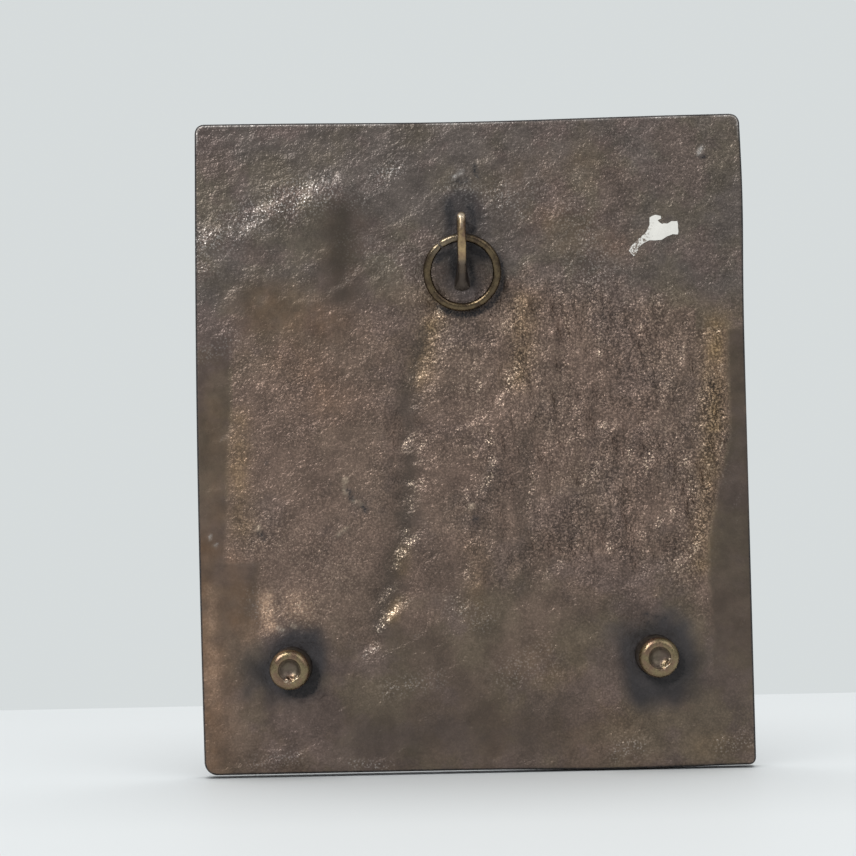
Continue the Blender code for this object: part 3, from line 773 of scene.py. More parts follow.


# what varies over the back: the rough sand-cast field, heat marks, warm stains, and painted highlights and
# shadows

stainsAndLight = {
    # each row: a line from one place to another, its half width in millimetres, its strength
    # golden tone, and painted highlights on the lit slopes beside the trough and on the long ridge
    "goldAndHighlight": (
        (0.945, 0.330, 0.935, 0.480, 4.5, 0.75),
        (0.935, 0.480, 0.905, 0.690, 4.0, 0.55),
        (0.075, 0.460, 0.080, 0.620, 4.0, 0.45),
        (0.440, 0.290, 0.405, 0.400, 4.0, 0.65),
        (0.372, 0.660, 0.362, 0.690, 2.5, 0.60),
        (0.360, 0.735, 0.345, 0.760, 2.2, 0.80),
        (0.600, 0.290, 0.582, 0.400, 4.5, 0.50),
        (0.621, 0.849, 0.640, 0.840, 8.0, 0.25),
        (0.900, 0.970, 0.990, 0.965, 4.0, 0.30),
        (0.500, 0.660, 0.495, 0.760, 4.0, 0.30),
    ),
    "copper": (
        (0.120, 0.730, 0.128, 0.768, 2.6, 1.00),
        (0.128, 0.745, 0.185, 0.745, 4.5, 0.55),
        (0.022, 0.720, 0.020, 0.880, 3.0, 0.35),
        (0.060, 0.800, 0.100, 0.780, 4.0, 0.25),
        (1.001, 0.410, 1.001, 0.625, 0.6, 0.60),
    ),
    "warm": (
        (0.010, 0.660, 0.010, 0.980, 8.0, 0.80),
        (0.060, 0.690, 0.080, 0.760, 7.0, 0.70),
        (0.120, 0.290, 0.230, 0.300, 9.0, 0.60),
        (0.180, 0.360, 0.240, 0.430, 9.0, 0.35),
        (0.268, 0.262, 0.272, 0.170, 6.0, 0.45),
        (0.030, 0.430, 0.035, 0.620, 4.0, 0.35),
        (0.550, 0.930, 0.750, 0.930, 9.0, 0.20),
        (0.600, 0.120, 0.720, 0.080, 12.0, 0.25),
        (0.640, 0.160, 0.770, 0.203, 9.0, 0.40),
        (0.009, 0.700, 0.015, 0.960, 5.0, 0.95),
    ),
    # darker patches; painted shade along the trough's left slope and the long ridge's right slope, and the
    # hollow below the long fold painted darker
    "dark": (
        (0.268, 0.262, 0.272, 0.150, 6.4, 1.00),
        (0.975, 0.300, 0.960, 0.200, 5.0, 0.20),
        (0.300, 0.940, 0.620, 0.935, 11.0, 0.65),
        (0.400, 0.820, 0.480, 0.880, 9.0, 0.40),
        (0.530, 0.560, 0.500, 0.780, 4.0, 0.35),
        (0.790, 0.800, 0.930, 0.900, 12.0, 0.35),
        (0.325, 0.770, 0.370, 0.640, 5.0, 0.85),
        (0.370, 0.640, 0.383, 0.520, 3.6, 0.85),
        (0.383, 0.520, 0.380, 0.420, 3.0, 0.70),
        (0.380, 0.420, 0.415, 0.330, 2.6, 0.80),
        (0.593, 0.491, 0.582, 0.723, 3.0, 0.40),
        (0.480, 0.230, 0.500, 0.240, 4.0, 0.35),
        (0.430, 0.680, 0.480, 0.710, 7.0, 0.40),
        (0.520, 0.880, 0.620, 0.900, 8.0, 0.25),
    ),
    # black pits and crusts, and painted shadows: at both sides of the eye, inside the ring's upper half and
    # under small lumps
    "sootAndShadow": (
        (0.468, 0.132, 0.469, 0.166, 1.1, 0.85),
        (0.506, 0.143, 0.507, 0.174, 1.4, 0.75),
        (0.440, 0.217, 0.465, 0.207, 1.3, 0.90),
        (0.472, 0.205, 0.471, 0.246, 0.9, 0.80),
        (0.503, 0.198, 0.530, 0.211, 1.5, 0.85),
        (0.499, 0.218, 0.504, 0.257, 1.0, 0.60),
        (0.472, 0.100, 0.495, 0.100, 1.6, 0.34),
        (0.476, 0.112, 0.484, 0.116, 1.4, 0.22),
        (0.514, 0.076, 0.517, 0.092, 0.9, 0.48),
        (0.298, 0.592, 0.300, 0.598, 1.0, 0.50),
        (0.272, 0.566, 0.284, 0.584, 0.9, 0.46),
        (0.116, 0.634, 0.122, 0.640, 0.9, 0.46),
        (0.800, 0.765, 0.806, 0.768, 0.7, 0.45),
        (0.815, 0.771, 0.820, 0.769, 0.7, 0.45),
        (0.829, 0.775, 0.836, 0.773, 0.7, 0.40),
        (0.806, 0.780, 0.812, 0.783, 0.6, 0.35),
        (0.499, 0.617, 0.501, 0.618, 0.9, 0.50),
        (0.125, 0.520, 0.128, 0.522, 0.5, 0.40),
        (0.246, 0.640, 0.265, 0.630, 0.7, 0.20),
        (0.925, 0.068, 0.930, 0.066, 0.6, 0.60),
    ),
    "smooth": (
        (0.262, 0.265, 0.275, 0.160, 8.0, 1.00),
        (0.110, 0.280, 0.240, 0.310, 8.0, 0.70),
        (0.340, 0.790, 0.395, 0.600, 3.0, 0.60),
        (0.395, 0.600, 0.380, 0.420, 2.6, 0.60),
        (0.300, 0.950, 0.680, 0.950, 9.0, 0.50),
        (0.060, 0.700, 0.070, 0.760, 6.0, 0.40),
    ),
    # painted highlights: small glints on lumps, pits, the nodule and above the eye
    "bright": (
        (0.483, 0.085, 0.485, 0.085, 0.5, 1.00),
        (0.474, 0.093, 0.476, 0.092, 0.4, 0.90),
        (0.111, 0.623, 0.111, 0.624, 0.6, 0.90),
        (0.268, 0.551, 0.268, 0.553, 0.6, 0.80),
        (0.025, 0.635, 0.025, 0.636, 0.5, 0.80),
        (0.034, 0.645, 0.034, 0.646, 0.5, 0.70),
        (0.926, 0.054, 0.920, 0.061, 0.7, 0.80),
        (0.494, 0.598, 0.496, 0.598, 0.9, 0.50),
        (0.264, 0.560, 0.270, 0.575, 0.5, 0.45),
        (0.480, 0.089, 0.488, 0.085, 0.6, 0.55),
        (0.916, 0.062, 0.926, 0.058, 0.5, 0.45),
        (0.112, 0.628, 0.116, 0.626, 0.4, 0.60),
        (0.284, 0.583, 0.296, 0.589, 0.5, 0.40),
        (0.268, 0.625, 0.252, 0.636, 0.5, 0.45),
        (0.140, 0.772, 0.150, 0.778, 0.4, 0.60),
        (0.165, 0.770, 0.172, 0.775, 0.4, 0.60),
    ),
    # painted highlights: places where many grains glint, mostly on slopes that lean up and to the left
    "sparkle": (
        (-0.003, 0.194, 0.060, 0.168, 4.2, 1.00),
        (0.060, 0.168, 0.150, 0.130, 5.6, 0.85),
        (0.150, 0.130, 0.235, 0.108, 6.0, 1.00),
        (0.342, 0.088, 0.374, 0.076, 2.6, 0.90),
        (0.015, 0.362, 0.070, 0.335, 3.0, 0.45),
        (0.000, 0.215, 0.030, 0.230, 3.0, 0.30),
        (0.560, 0.125, 0.590, 0.140, 5.0, 0.60),
        (0.690, 0.160, 0.740, 0.260, 8.0, 0.35),
        (0.620, 0.110, 0.625, 0.120, 3.0, 0.50),
        (0.470, 0.110, 0.520, 0.125, 4.0, 0.45),
        (0.330, 0.095, 0.300, 0.130, 4.0, 0.30),
        (0.290, 0.190, 0.400, 0.230, 6.0, 0.18),
        (0.440, 0.300, 0.500, 0.420, 7.0, 0.30),
        (0.500, 0.440, 0.510, 0.500, 5.0, 0.35),
        (0.120, 0.740, 0.200, 0.750, 6.0, 0.45),
        (0.130, 0.640, 0.260, 0.700, 9.0, 0.20),
        (0.600, 0.340, 0.700, 0.560, 12.0, 0.20),
        (0.830, 0.300, 0.860, 0.560, 6.0, 0.25),
        (0.930, 0.340, 0.925, 0.560, 5.0, 0.25),
        (0.900, 0.560, 0.880, 0.700, 6.0, 0.30),
        (0.460, 0.740, 0.510, 0.770, 4.0, 0.35),
        (0.560, 0.850, 0.620, 0.830, 6.0, 0.25),
        (0.340, 0.872, 0.430, 0.855, 3.0, 0.35),
        (0.100, 0.980, 0.170, 0.972, 2.5, 0.40),
        (0.270, 0.985, 0.340, 0.988, 1.5, 0.60),
        (0.740, 0.972, 0.790, 0.965, 2.5, 0.45),
        (0.930, 0.972, 0.980, 0.965, 2.5, 0.35),
    ),
    "wander": ((0.0045, 0.0007), (0.0016, 0.0003)),
}


def markRows(x, z, rows):
    x = x + layered(x, z, 23, stainsAndLight["wander"])
    z = z + layered(x, z, 25, stainsAndLight["wander"])
    total = np.zeros_like(x)
    for startAcross, startDown, endAcross, endDown, reach, strength in rows:
        path = [place(startAcross, startDown), place(endAcross, endDown)]
        total = np.maximum(total, strength * bell(nearest(x, z, path), 0, millimetre * reach))
    return total


# the rough sand-cast field, in shares of the width and height; a pair is a start or end and its fade
field = {
    "ragged": ((0.006, 0.006), (0.002, 0.003)),
    "left": 0.0685,
    "leftLean": 0.05,
    "leftLeanFrom": 0.32,
    "leftStepAt": 0.675,
    "leftBelowStep": 0.110,
    "leftRagged": 0.25,
    "right": 0.965,
    "rightLean": 0.045,
    "rightLeanFrom": (0.47, 0.22),
    "rightRagged": 0.5,
    "sideFade": 0.006,
    "top": 0.305,
    "topArch": 0.10,
    "topArchAt": (0.45, 0.25),
    "topLift": 0.03,
    "topLiftFrom": (0.55, 0.15),
    "topRagged": 3,
    "topFade": 0.12,
    "topFadeLess": 0.075,
    "topFadeLessFrom": (0.45, 0.12),
    "cornerAt": 0.905,
    "cornerTop": 0.328,
    "cornerFade": 0.012,
    "bottom": 0.80,
    "bottomSwing": 0.05,
    "bottomWaves": 7,
    "bottomRagged": 4,
    "bottomFade": 0.10,
    # the smooth strips at both sides of it
    "stripFade": 0.005,
    "leftStripTop": (0.30, 0.06),
    "leftStripEnd": (0.86, 0.12),
    "rightStripTop": (0.325, 0.012),
    "rightStripEnd": (0.99, 0.20),
    # its right part ran in upright streaks
    "streaksFrom": (0.36, 0.22),
    "streaksEnd": (0.90, 0.12),
}


def sandSides(x, z):
    # the field's left and right edges, and how ragged they are
    _, down = shares(x, z)
    wave = layered(x, z, 21, field["ragged"])
    left = field["left"] - field["leftLean"] * (down - field["leftLeanFrom"])
    left = np.where(down < field["leftStepAt"], left, field["leftBelowStep"]) + wave * field["leftRagged"]
    right = field["right"] - field["rightLean"] * past(down, *field["rightLeanFrom"])
    return left, right + wave * field["rightRagged"], wave


def strips(x, z):
    across, down = shares(x, z)
    left, right, wave = sandSides(x, z)
    leftOne = before(across, left, field["stripFade"]) * past(down - wave, *field["leftStripTop"])
    rightOne = past(across, right, field["stripFade"]) * past(down - wave, *field["rightStripTop"])
    return leftOne * before(down, *field["leftStripEnd"]), rightOne * before(down, *field["rightStripEnd"])


def sandField(x, z):
    across, down = shares(x, z)
    left, right, wave = sandSides(x, z)
    sides = past(across, left, field["sideFade"]) * before(across, right, field["sideFade"])
    corner = across > field["cornerAt"]
    top = field["top"] - field["topArch"] * bell(across, *field["topArchAt"]) + field["topRagged"] * wave
    top = top - field["topLift"] * past(across, *field["topLiftFrom"])
    fade = field["topFade"] - field["topFadeLess"] * past(across, *field["topFadeLessFrom"])
    top, fade = np.where(corner, field["cornerTop"], top), np.where(corner, field["cornerFade"], fade)
    bottom = field["bottom"] + field["bottomSwing"] * np.sin(across * field["bottomWaves"])
    bottom = bottom + field["bottomRagged"] * wave
    return sides * past(down, top, fade) * before(down, bottom, field["bottomFade"])


def streaked(x, z):
    across, down = shares(x, z)
    return sandField(x, z) * past(across, *field["streaksFrom"]) * before(down, *field["streaksEnd"])


# what the brazing flame left, and painted shadows beside the feet and the ring, in metres; a pair is an end
# or a start and its fade
heatAndShadow = {
    "footRagged": ((0.012, 0.004), (0.004, 0.0015)),
    "footHalo": (0.0188, 0.0085),
    "eyeLine": ((0, 0.010), (0, -0.013)),
    "eyeRagged": ((0.006, 0.003),),
    "eyeHalo": (0.0100, 0.006),
    "eyeShare": 0.7,
    # painted shadow below and to the right of each foot
    "shadowAside": 0.0023,
    "shadowBelow": 0.0027,
    "shadowRagged": ((0.003, 0.0005),),
    "shadowDisc": (0.0081, 0.0016),
    "darkSpotStrength": 1.6,
    # the painted shadow under the hanging ring's lower right half
    "ringShift": 0.0006,
    "ringShare": 0.9,
    "ringTurn": 0.012,
    "ringOuter": (0.0142, 0.0012),
    "ringInner": (0.0110, 0.0010),
}


def halos(x, z):
    total = np.zeros_like(x)
    for gap in footGaps(x, z):
        total = np.maximum(total, before(gap + layered(x, z, 31, heatAndShadow["footRagged"]), *heatAndShadow["footHalo"]))
    gap = nearest(x, z, heatAndShadow["eyeLine"]) + layered(x, z, 33, heatAndShadow["eyeRagged"])
    return np.maximum(total, heatAndShadow["eyeShare"] * before(gap, *heatAndShadow["eyeHalo"]))


def sootAndShadow(x, z):
    # painted shadows: a crescent below and to the right of each foot and an arc under the ring, with the
    # soot rows
    total = np.minimum(heatAndShadow["darkSpotStrength"] * markRows(x, z, stainsAndLight["sootAndShadow"]), 1)
    for gap in footGaps(x, z, heatAndShadow["shadowAside"], heatAndShadow["shadowBelow"]):
        total = np.maximum(total, before(gap + layered(x, z, 34, heatAndShadow["shadowRagged"]), *heatAndShadow["shadowDisc"]))
    gap = np.hypot(x - heatAndShadow["ringShift"], z + ring["radius"] + heatAndShadow["ringShift"])
    lowerRight = eased(0.5 + (x - z - ring["radius"]) / heatAndShadow["ringTurn"])
    mark = lowerRight * before(gap, *heatAndShadow["ringOuter"]) * past(gap, *heatAndShadow["ringInner"])
    return np.maximum(total, heatAndShadow["ringShare"] * mark)


bronze = {
    "coolBrown": (0.123, 0.100, 0.087),
    "warmBrown": (0.144, 0.101, 0.076),
    "olive": (0.132, 0.106, 0.070),
    "plum": (0.138, 0.099, 0.088),
    "sand": (0.174, 0.118, 0.091),
    "heated": (0.038, 0.037, 0.042),
    "rust": (0.200, 0.112, 0.060),
    "goldAndHighlight": (0.270, 0.175, 0.085),
    "copper": (0.560, 0.370, 0.255),
    "grimeAndShade": (0.050, 0.040, 0.031),
    "sootAndShadow": (0.012, 0.010, 0.011),
    "silvery": (0.600, 0.560, 0.520),
    "golden": (0.620, 0.500, 0.370),
    "metallic": 0.60,
    "roughness": 0.40,
    "grainDepth": 0.00024,
    "pebbleSize": 0.00085,
    # noises: the width of their blobs in metres, their detail, their roughness and their stretch
    "patch": (0.009, 6, 0.68),
    "broad": (0.045, 2),
    "tint": (0.022, 3),
    "hue": (0.015, 3),
    "crust": (0.016, 4),
    "specks": (0.000676, 2, 0.6),
    "grain": (0.00052, 2, 0.6),
    "coarse": (0.0012, 2, 0.55),
    "crumple": (0.0026, 3, 0.62),
    "streaks": (0.0024, 3, 0.6, (1, 1, 0.36)),
    # where each of them starts to count and where it counts in full
    "patchRange": (0.30, 0.70),
    "broadRange": (0.38, 0.72),
    "tintRange": (0.40, 0.62),
    "hueRange": (0.46, 0.64),
    "crustRange": (0.36, 0.62),
    "specksRange": (0.47, 0.60),
    "speckleRange": (0.40, 0.66),
    "streaksRange": (0.36, 0.64),
    "paintedGlintsRange": (0.52, 0.68),
    # how much of a colour covers what lies under it
    "oliveShare": 0.5,
    "plumShare": 0.6,
    "sandShare": 0.95,
    "rustShare": 0.75,
    "heatedShare": 0.9,
    "grimeAndShadeShare": 0.78,
    "paintedGlintsShare": 0.75,
    "patchShade": 0.46,
    "darkestPatch": 0.76,
    "streakShade": 0.20,
    # the weights of the bumps
    "coarseBump": 1.9,
    "crumpleBump": 3.0,
    "streakBump": 3.4,
}


def plateFinish():
    finish = Finish("cast_bronze")
    sand, halo, smooth = finish.painted("sand"), finish.painted("halo"), finish.painted("smooth")
    glint, giltAndHighlight, streaky = finish.painted("glint"), finish.painted("goldAndHighlight"), finish.painted("streaked")

    def spread(name, noise=None):
        return finish.ramp(noise or finish.noise(*bronze[name]), *bronze[name + "Range"])

    # the clouds of the patina
    patch = finish.noise(*bronze["patch"])
    broad = spread("broad", finish.noise(*bronze["broad"]) * 0.6 + finish.painted("low") * 0.55)
    tint, hue, crust, specks = spread("tint"), spread("hue"), spread("crust"), spread("specks")

    # the skin of the casting
    grain, coarse = finish.noise(*bronze["grain"]), finish.noise(*bronze["coarse"])
    crumple, streaks = finish.noise(*bronze["crumple"]), finish.noise(*bronze["streaks"])
    pebbleScale = {"Vector": finish.coords(), "Scale": 1 / bronze["pebbleSize"]}
    pebbles = 1 - finish.node("ShaderNodeTexVoronoi", values=pebbleScale)
    rough = (1 - smooth * 0.75) * (1 - halo * 0.70) * finish.painted("rough") * (0.70 + crust * 0.50)
    sootAndShadowMask = (finish.painted("sootAndShadow") * (0.62 + specks * 0.6)).clamped()

    layers = {
        "olive": tint * bronze["oliveShare"],
        "plum": hue * bronze["plumShare"],
        "sand": sand * (bronze["sandShare"] - hue * 0.4 - tint * 0.2),
        "rust": finish.painted("warm") * bronze["rustShare"],
        "heated": halo * bronze["heatedShare"],
        "goldAndHighlight": giltAndHighlight * (patch + 0.3),
        "copper": (finish.painted("copper") * (specks * 0.6 + 0.5)).clamped(),
    }
    colour = finish.mix(broad, bronze["coolBrown"], bronze["warmBrown"])
    for name, share in layers.items():
        colour = finish.mix(share, colour, bronze[name])
    speckle = (spread("speckle", grain * 0.7 + pebbles * 0.3) - 0.5) * rough * (0.80 + giltAndHighlight * 0.7)
    speckle = speckle + (spread("streaks", streaks) - 0.5) * streaky * bronze["streakShade"]
    shade = bronze["darkestPatch"] + spread("patch", patch) * bronze["patchShade"]
    colour = finish.scaled(colour, shade * (1 + speckle))
    # darker patches and painted shade, then black for soot, pits and painted shadows
    colour = finish.mix((finish.painted("dark") * bronze["grimeAndShadeShare"]).clamped(), colour, bronze["grimeAndShade"])
    colour = finish.mix(sootAndShadowMask, colour, bronze["sootAndShadow"])

    # bare metal where it is worn, and painted highlights: bright spots, the top edge line and glints on
    # slopes that lean up and to the left
    paintedGlints = glint * spread("paintedGlints", grain * 0.6 + pebbles * 0.4) * bronze["paintedGlintsShare"]
    worn = finish.painted("wearAndHighlight") * (specks * 0.55 + 0.45)
    bareAndHighlight = (worn + paintedGlints * (1 - halo * 0.6)).clamped()
    colour = finish.mix(bareAndHighlight, colour, finish.mix(sand, bronze["silvery"], bronze["golden"]))

    height = (grain * 0.6 + coarse * bronze["coarseBump"] + pebbles * 0.6 - 1.5) * rough
    height = height + (crumple - 0.5) * (bronze["crumpleBump"] - smooth * 2.2 - halo * 1.2)
    height = height + (streaks - 0.5) * streaky * bronze["streakBump"]
    dulling = (0.5 - grain) * 0.30 - bareAndHighlight * 0.12 - smooth * 0.03 + sootAndShadowMask * 0.3
    finish.shade(
        Base_Color=colour,
        Metallic=bronze["metallic"] + bareAndHighlight * 0.3 - sootAndShadowMask * 0.5,
        Roughness=bronze["roughness"] + dulling,
        Normal=finish.bump(height, bronze["grainDepth"]),
    )
    return finish


def makePlate():
    points, places = [], []
    for shrink, surface in ((plate["draft"], backY), (0, frontY)):
        x, z, inset = outlineGrid(shrink)
        y = surface(x, z, inset)
        places.append((x, z, inset, y))
        sideways, upwards = stray(x, z)
        points.append(np.stack([x + sideways, y, z + upwards], axis=-1))
    rows, columns = points[0].shape[:2]
    size = rows * columns
    faces = [*gridFaces(rows, columns, 0), *gridFaces(rows, columns, size)]
    rim = gridOutline(rows, columns)
    for start, end in zip(rim, [*rim[1:], rim[0]]):
        faces.append((start, end, end + size, start + size))
    points = np.concatenate(points).reshape(-1, 3)
    lowest = np.array((plateLow.x, cadLow.y, plateLow.z)) + plate["slack"]
    points = np.clip(points, lowest, np.array(plateHigh) - plate["slack"])
    piece = makePiece("relief_casting", points, faces, plateFinish(), "plaque")
    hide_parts("relief_plate")
    paintPlate(piece, places)
    print("plate made:", len(faces), "faces")


# how the casting is worn, and where highlights and the rim's shade are painted on it; a pair is a start or
# an end and its fade
wearAndLight = {
    "up": 0.79,
    "left": 0.62,
    "leaning": (0.12, 0.30),
    "ragged": ((0.005, 0.35), (0.002, 0.2)),
    "raggedLeast": 0.8,
    # the worn line along the top edge, painted as a highlight
    "edgeEnd": (0.00125, 0.0003),
    "edgeStart": (0.0005, 0.0003),
    "edgeDown": (0.05, 0.035),
    "edgeRagged": ((0.012, 0.9),),
    "edgeLeast": 0.75,
    "edgeShare": 0.8,
    "glintStart": (0.0012, 0.001),
    "lowStart": (0.18, 0.25),
    # the dark line of the outline, painted shade on its rounded rim, thinner where the right edge is red
    "rimEnd": (0.0008, 0.0003),
    "rimShare": 0.95,
    "redLess": 0.7,
    "redAcross": (0.985, 0.01),
    "redStart": (0.36, 0.08),
    "redEnd": (0.67, 0.08),
    "sootAndShadowShare": 1.3,
    "leftStripDark": 0.30,
    "rightStripDark": 0.60,
    # grain inside and outside the sand-cast field
    "sandGrain": 0.68,
    "sandGrainRight": 0.32,
    "sandGrainFrom": (0.35, 0.35),
    "restGrain": 0.42,
    "restGrainRight": 0.16,
    "restGrainFrom": (0.45, 0.2),
    "restGrainLow": 0.12,
    "restGrainLowFrom": (0.25, 0.4),
    # the relief side: its height, and how it is sanded, smooth, dark in its depths and worn on its tops
    "reliefHeight": 0.0042,
    "reliefSand": 0.90,
    "reliefGrain": 0.5,
    "reliefSmooth": 0.6,
    "reliefDark": 0.55,
    "reliefDeep": 0.12,
    "reliefWear": 0.36,
    "reliefTops": (0.35, 0.5),
}


def upLeft(x, z, depth):
    # how far the back leans up and to the left, where a highlight is painted as bare metal
    slopeX = np.gradient(depth, axis=1) / np.gradient(x, axis=1)
    slopeZ = np.gradient(depth, axis=0) / np.gradient(z, axis=0)
    return past(wearAndLight["up"] * slopeZ - wearAndLight["left"] * slopeX, *wearAndLight["leaning"])


def wornEdgeHighlight(x, z, inset):
    _, down = shares(x, z)
    line = before(inset, *wearAndLight["edgeEnd"]) * past(inset, *wearAndLight["edgeStart"])
    broken = eased(wearAndLight["edgeLeast"] + layered(x, z, 41, wearAndLight["edgeRagged"]))
    return wearAndLight["edgeShare"] * line * before(down, *wearAndLight["edgeDown"]) * broken


def darkRim(x, z, inset):
    # painted shade along the rounded rim of the outline
    across, down = shares(x, z)
    red = past(across, *wearAndLight["redAcross"]) * past(down, *wearAndLight["redStart"])
    red = red * before(down, *wearAndLight["redEnd"])
    return wearAndLight["rimShare"] * (1 - wearAndLight["redLess"] * red) * before(inset, *wearAndLight["rimEnd"])


def grainShare(x, z, sand):
    across, down = shares(x, z)
    inside = wearAndLight["sandGrain"] + wearAndLight["sandGrainRight"] * past(across, *wearAndLight["sandGrainFrom"])
    outside = wearAndLight["restGrain"] + wearAndLight["restGrainRight"] * past(across, *wearAndLight["restGrainFrom"])
    outside = outside - wearAndLight["restGrainLow"] * past(down, *wearAndLight["restGrainLowFrom"])
    return sand * inside + (1 - sand) * outside


def paintPlate(piece, places):
    (x, z, inset, backDepth), (_, _, _, frontDepth) = places
    none = np.zeros_like(x)

    def paintSides(name, back, front=0.0):
        paint(piece, name, np.stack([back, front + none]))

    _, down = shares(x, z)
    sand = sandField(x, z)
    leftStrip, rightStrip = strips(x, z)
    ragged = wearAndLight["raggedLeast"] + layered(x, z, 43, wearAndLight["ragged"])
    high = (frontDepth - plate["backY"] - plate["thickness"]) / wearAndLight["reliefHeight"]
    for name in ("goldAndHighlight", "copper", "warm"):
        paintSides(name, markRows(x, z, stainsAndLight[name]) * ragged)
    # painted highlights: bare metal on slopes that lean up and to the left, and the sparkle rows
    glint = upLeft(x, z, backDepth) * past(inset, *wearAndLight["glintStart"])
    paintSides("glint", np.maximum(glint, markRows(x, z, stainsAndLight["sparkle"]) * ragged))
    paintSides("low", past(down, *wearAndLight["lowStart"]))
    paintSides("rough", grainShare(x, z, sand), wearAndLight["reliefGrain"])
    paintSides("sand", sand, wearAndLight["reliefSand"])
    paintSides("streaked", streaked(x, z))
    paintSides("halo", halos(x, z))
    smooth = np.maximum.reduce([markRows(x, z, stainsAndLight["smooth"]), leftStrip, rightStrip])
    paintSides("smooth", smooth, wearAndLight["reliefSmooth"])
    stripsDark = np.maximum(wearAndLight["leftStripDark"] * leftStrip, wearAndLight["rightStripDark"] * rightStrip)
    deep = wearAndLight["reliefDark"] * before(high, wearAndLight["reliefDeep"], wearAndLight["reliefDeep"])
    paintSides("dark", np.maximum(markRows(x, z, stainsAndLight["dark"]), stripsDark), deep)
    # black soot and pits, painted shadows beside the feet, eye and ring, and painted shade on the rim
    paintSides("sootAndShadow", wearAndLight["sootAndShadowShare"] * np.maximum(sootAndShadow(x, z), darkRim(x, z, inset)))
    # painted highlights: the top edge line and the bright rows; on the relief side, wear on its tops
    wearAndHighlight = np.maximum(wornEdgeHighlight(x, z, inset), markRows(x, z, stainsAndLight["bright"]))
    paintSides("wearAndHighlight", wearAndHighlight, wearAndLight["reliefWear"] * past(high, *wearAndLight["reliefTops"]))


def arc(centre, radius, start, end, steps):
    for step in range(steps + 1):
        angle = math.radians(start + (end - start) * step / steps)
        yield centre[0] + radius * math.cos(angle), centre[1] + radius * math.sin(angle)


def lathe(profile, steps):
    # rings of points round the Y axis; a radius of 0 is one point
    points, rings, faces = [], [], []
    for radius, height in profile:
        count = steps if radius > 0 else 1
        rings.append(list(range(len(points), len(points) + count)))
        for step in range(count):
            angle = 2 * math.pi * step / steps
            points.append((radius * math.cos(angle), -height, radius * math.sin(angle)))
    for near, far in zip(rings, rings[1:]):
        for step in range(steps):
            after = (step + 1) % steps
            corners = [near[step % len(near)], near[after % len(near)]]
            corners += [far[after % len(far)], far[step % len(far)]]
            faces.append(tuple(dict.fromkeys(corners)))
    return np.array(points), faces


brass = {
    "shaded": (0.115, 0.096, 0.085),
    "bareAndHighlight": (0.78, 0.66, 0.50),
    "olive": (0.240, 0.190, 0.108),
    "brown": (0.215, 0.140, 0.095),
    "golden": (0.400, 0.285, 0.155),
    "ring": (0.132, 0.098, 0.057),
    "ringBrown": (0.070, 0.050, 0.034),
    "footRoughness": 0.30,
    "eyeRoughness": 0.34,
    "ringRoughness": 0.26,
    # noises: the width of their blobs in metres, their detail and their roughness
    "cloud": (0.0040, 3),
    "grain": (0.0007, 3, 0.6),
    "cloudRange": (0.38, 0.62),
    "grainDepth": 0.00012,
    "shadedShare": 0.95,
    "darkestGrain": 0.62,
    "grainShade": 0.76,
}


def brassFinish(name, colour, stained, roughness):
    finish = Finish(name)
    cloud, grain = finish.noise(*brass["cloud"]), finish.noise(*brass["grain"])
    hidden, bareAndHighlight = finish.painted("shade"), finish.painted("bareAndHighlight")
    tone = finish.mix(finish.ramp(cloud, *brass["cloudRange"]), colour, stained)
    tone = finish.mix((hidden * brass["shadedShare"]).clamped(), tone, brass["shaded"])
    # bare metal and painted highlights
    tone = finish.mix(bareAndHighlight.clamped(), tone, brass["bareAndHighlight"])
    finish.shade(
        Base_Color=finish.scaled(tone, brass["darkestGrain"] + grain * brass["grainShade"]),
        Metallic=1.0,
        Roughness=roughness + (grain - 0.5) * 0.35 + hidden * 0.15,
        Normal=finish.bump(grain * 0.7 + cloud, brass["grainDepth"]),
    )
    return finish


# a pair is a radius or a height and its fade
feet = {
    "places": {"left_foot": (-0.0582, -0.1386), "right_foot": (0.0604, -0.1371)},
    "tornAt": {"left_foot": -80, "right_foot": -45},
    "radius": 0.0065,
    "flare": 0.0003,
    "flareHeight": 0.0006,
    "standoff": 0.0112,
    "sunk": 0.0003,
    "steps": 96,
    "rounding": 0.0023,
    "rimFlat": 0.0003,
    "lip": 0.0007,
    "lipRounding": 0.0006,
    "dimpleDepth": 0.0020,
    "bowlShares": (0.15, 0.3, 0.45, 0.6, 0.7, 0.8, 0.87, 0.93, 1),
    "bowlRise": 0.72,
    "bowlCurve": 2.6,
    "sideHeights": (0.006, 0.003),
    "baseSeam": 0.0001,
    "waves": ((0.0025, 0.00006),),
    # the torn lip in the hole
    "holeFrom": 0.008,
    "holeRadius": 0.0042,
    "tornSpread": math.radians(48),
    "tornFade": 0.30,
    "tornInner": (0.0012, 0.0010),
    "tornRaised": (0.0018, 0.0010),
    "tornOuter": (0.0030, 0.0008),
    "tornHeight": 0.0004,
    "tornUneven": 0.0005,
    "tornRagged": ((0.00055, 1), (0.0003, 0.5)),
    # what is painted on it
    "dimpleShade": (0.0040, 0.0010),
    "dimpleShare": 0.75,
    "tornClear": 0.9,
    "baseShade": (0.0060, 0.0050),
    "baseFrom": 0.004,
    "bareAndHighlightFrom": (0.0022, 0.0008),
    "bareAndHighlightShare": 0.7,
}


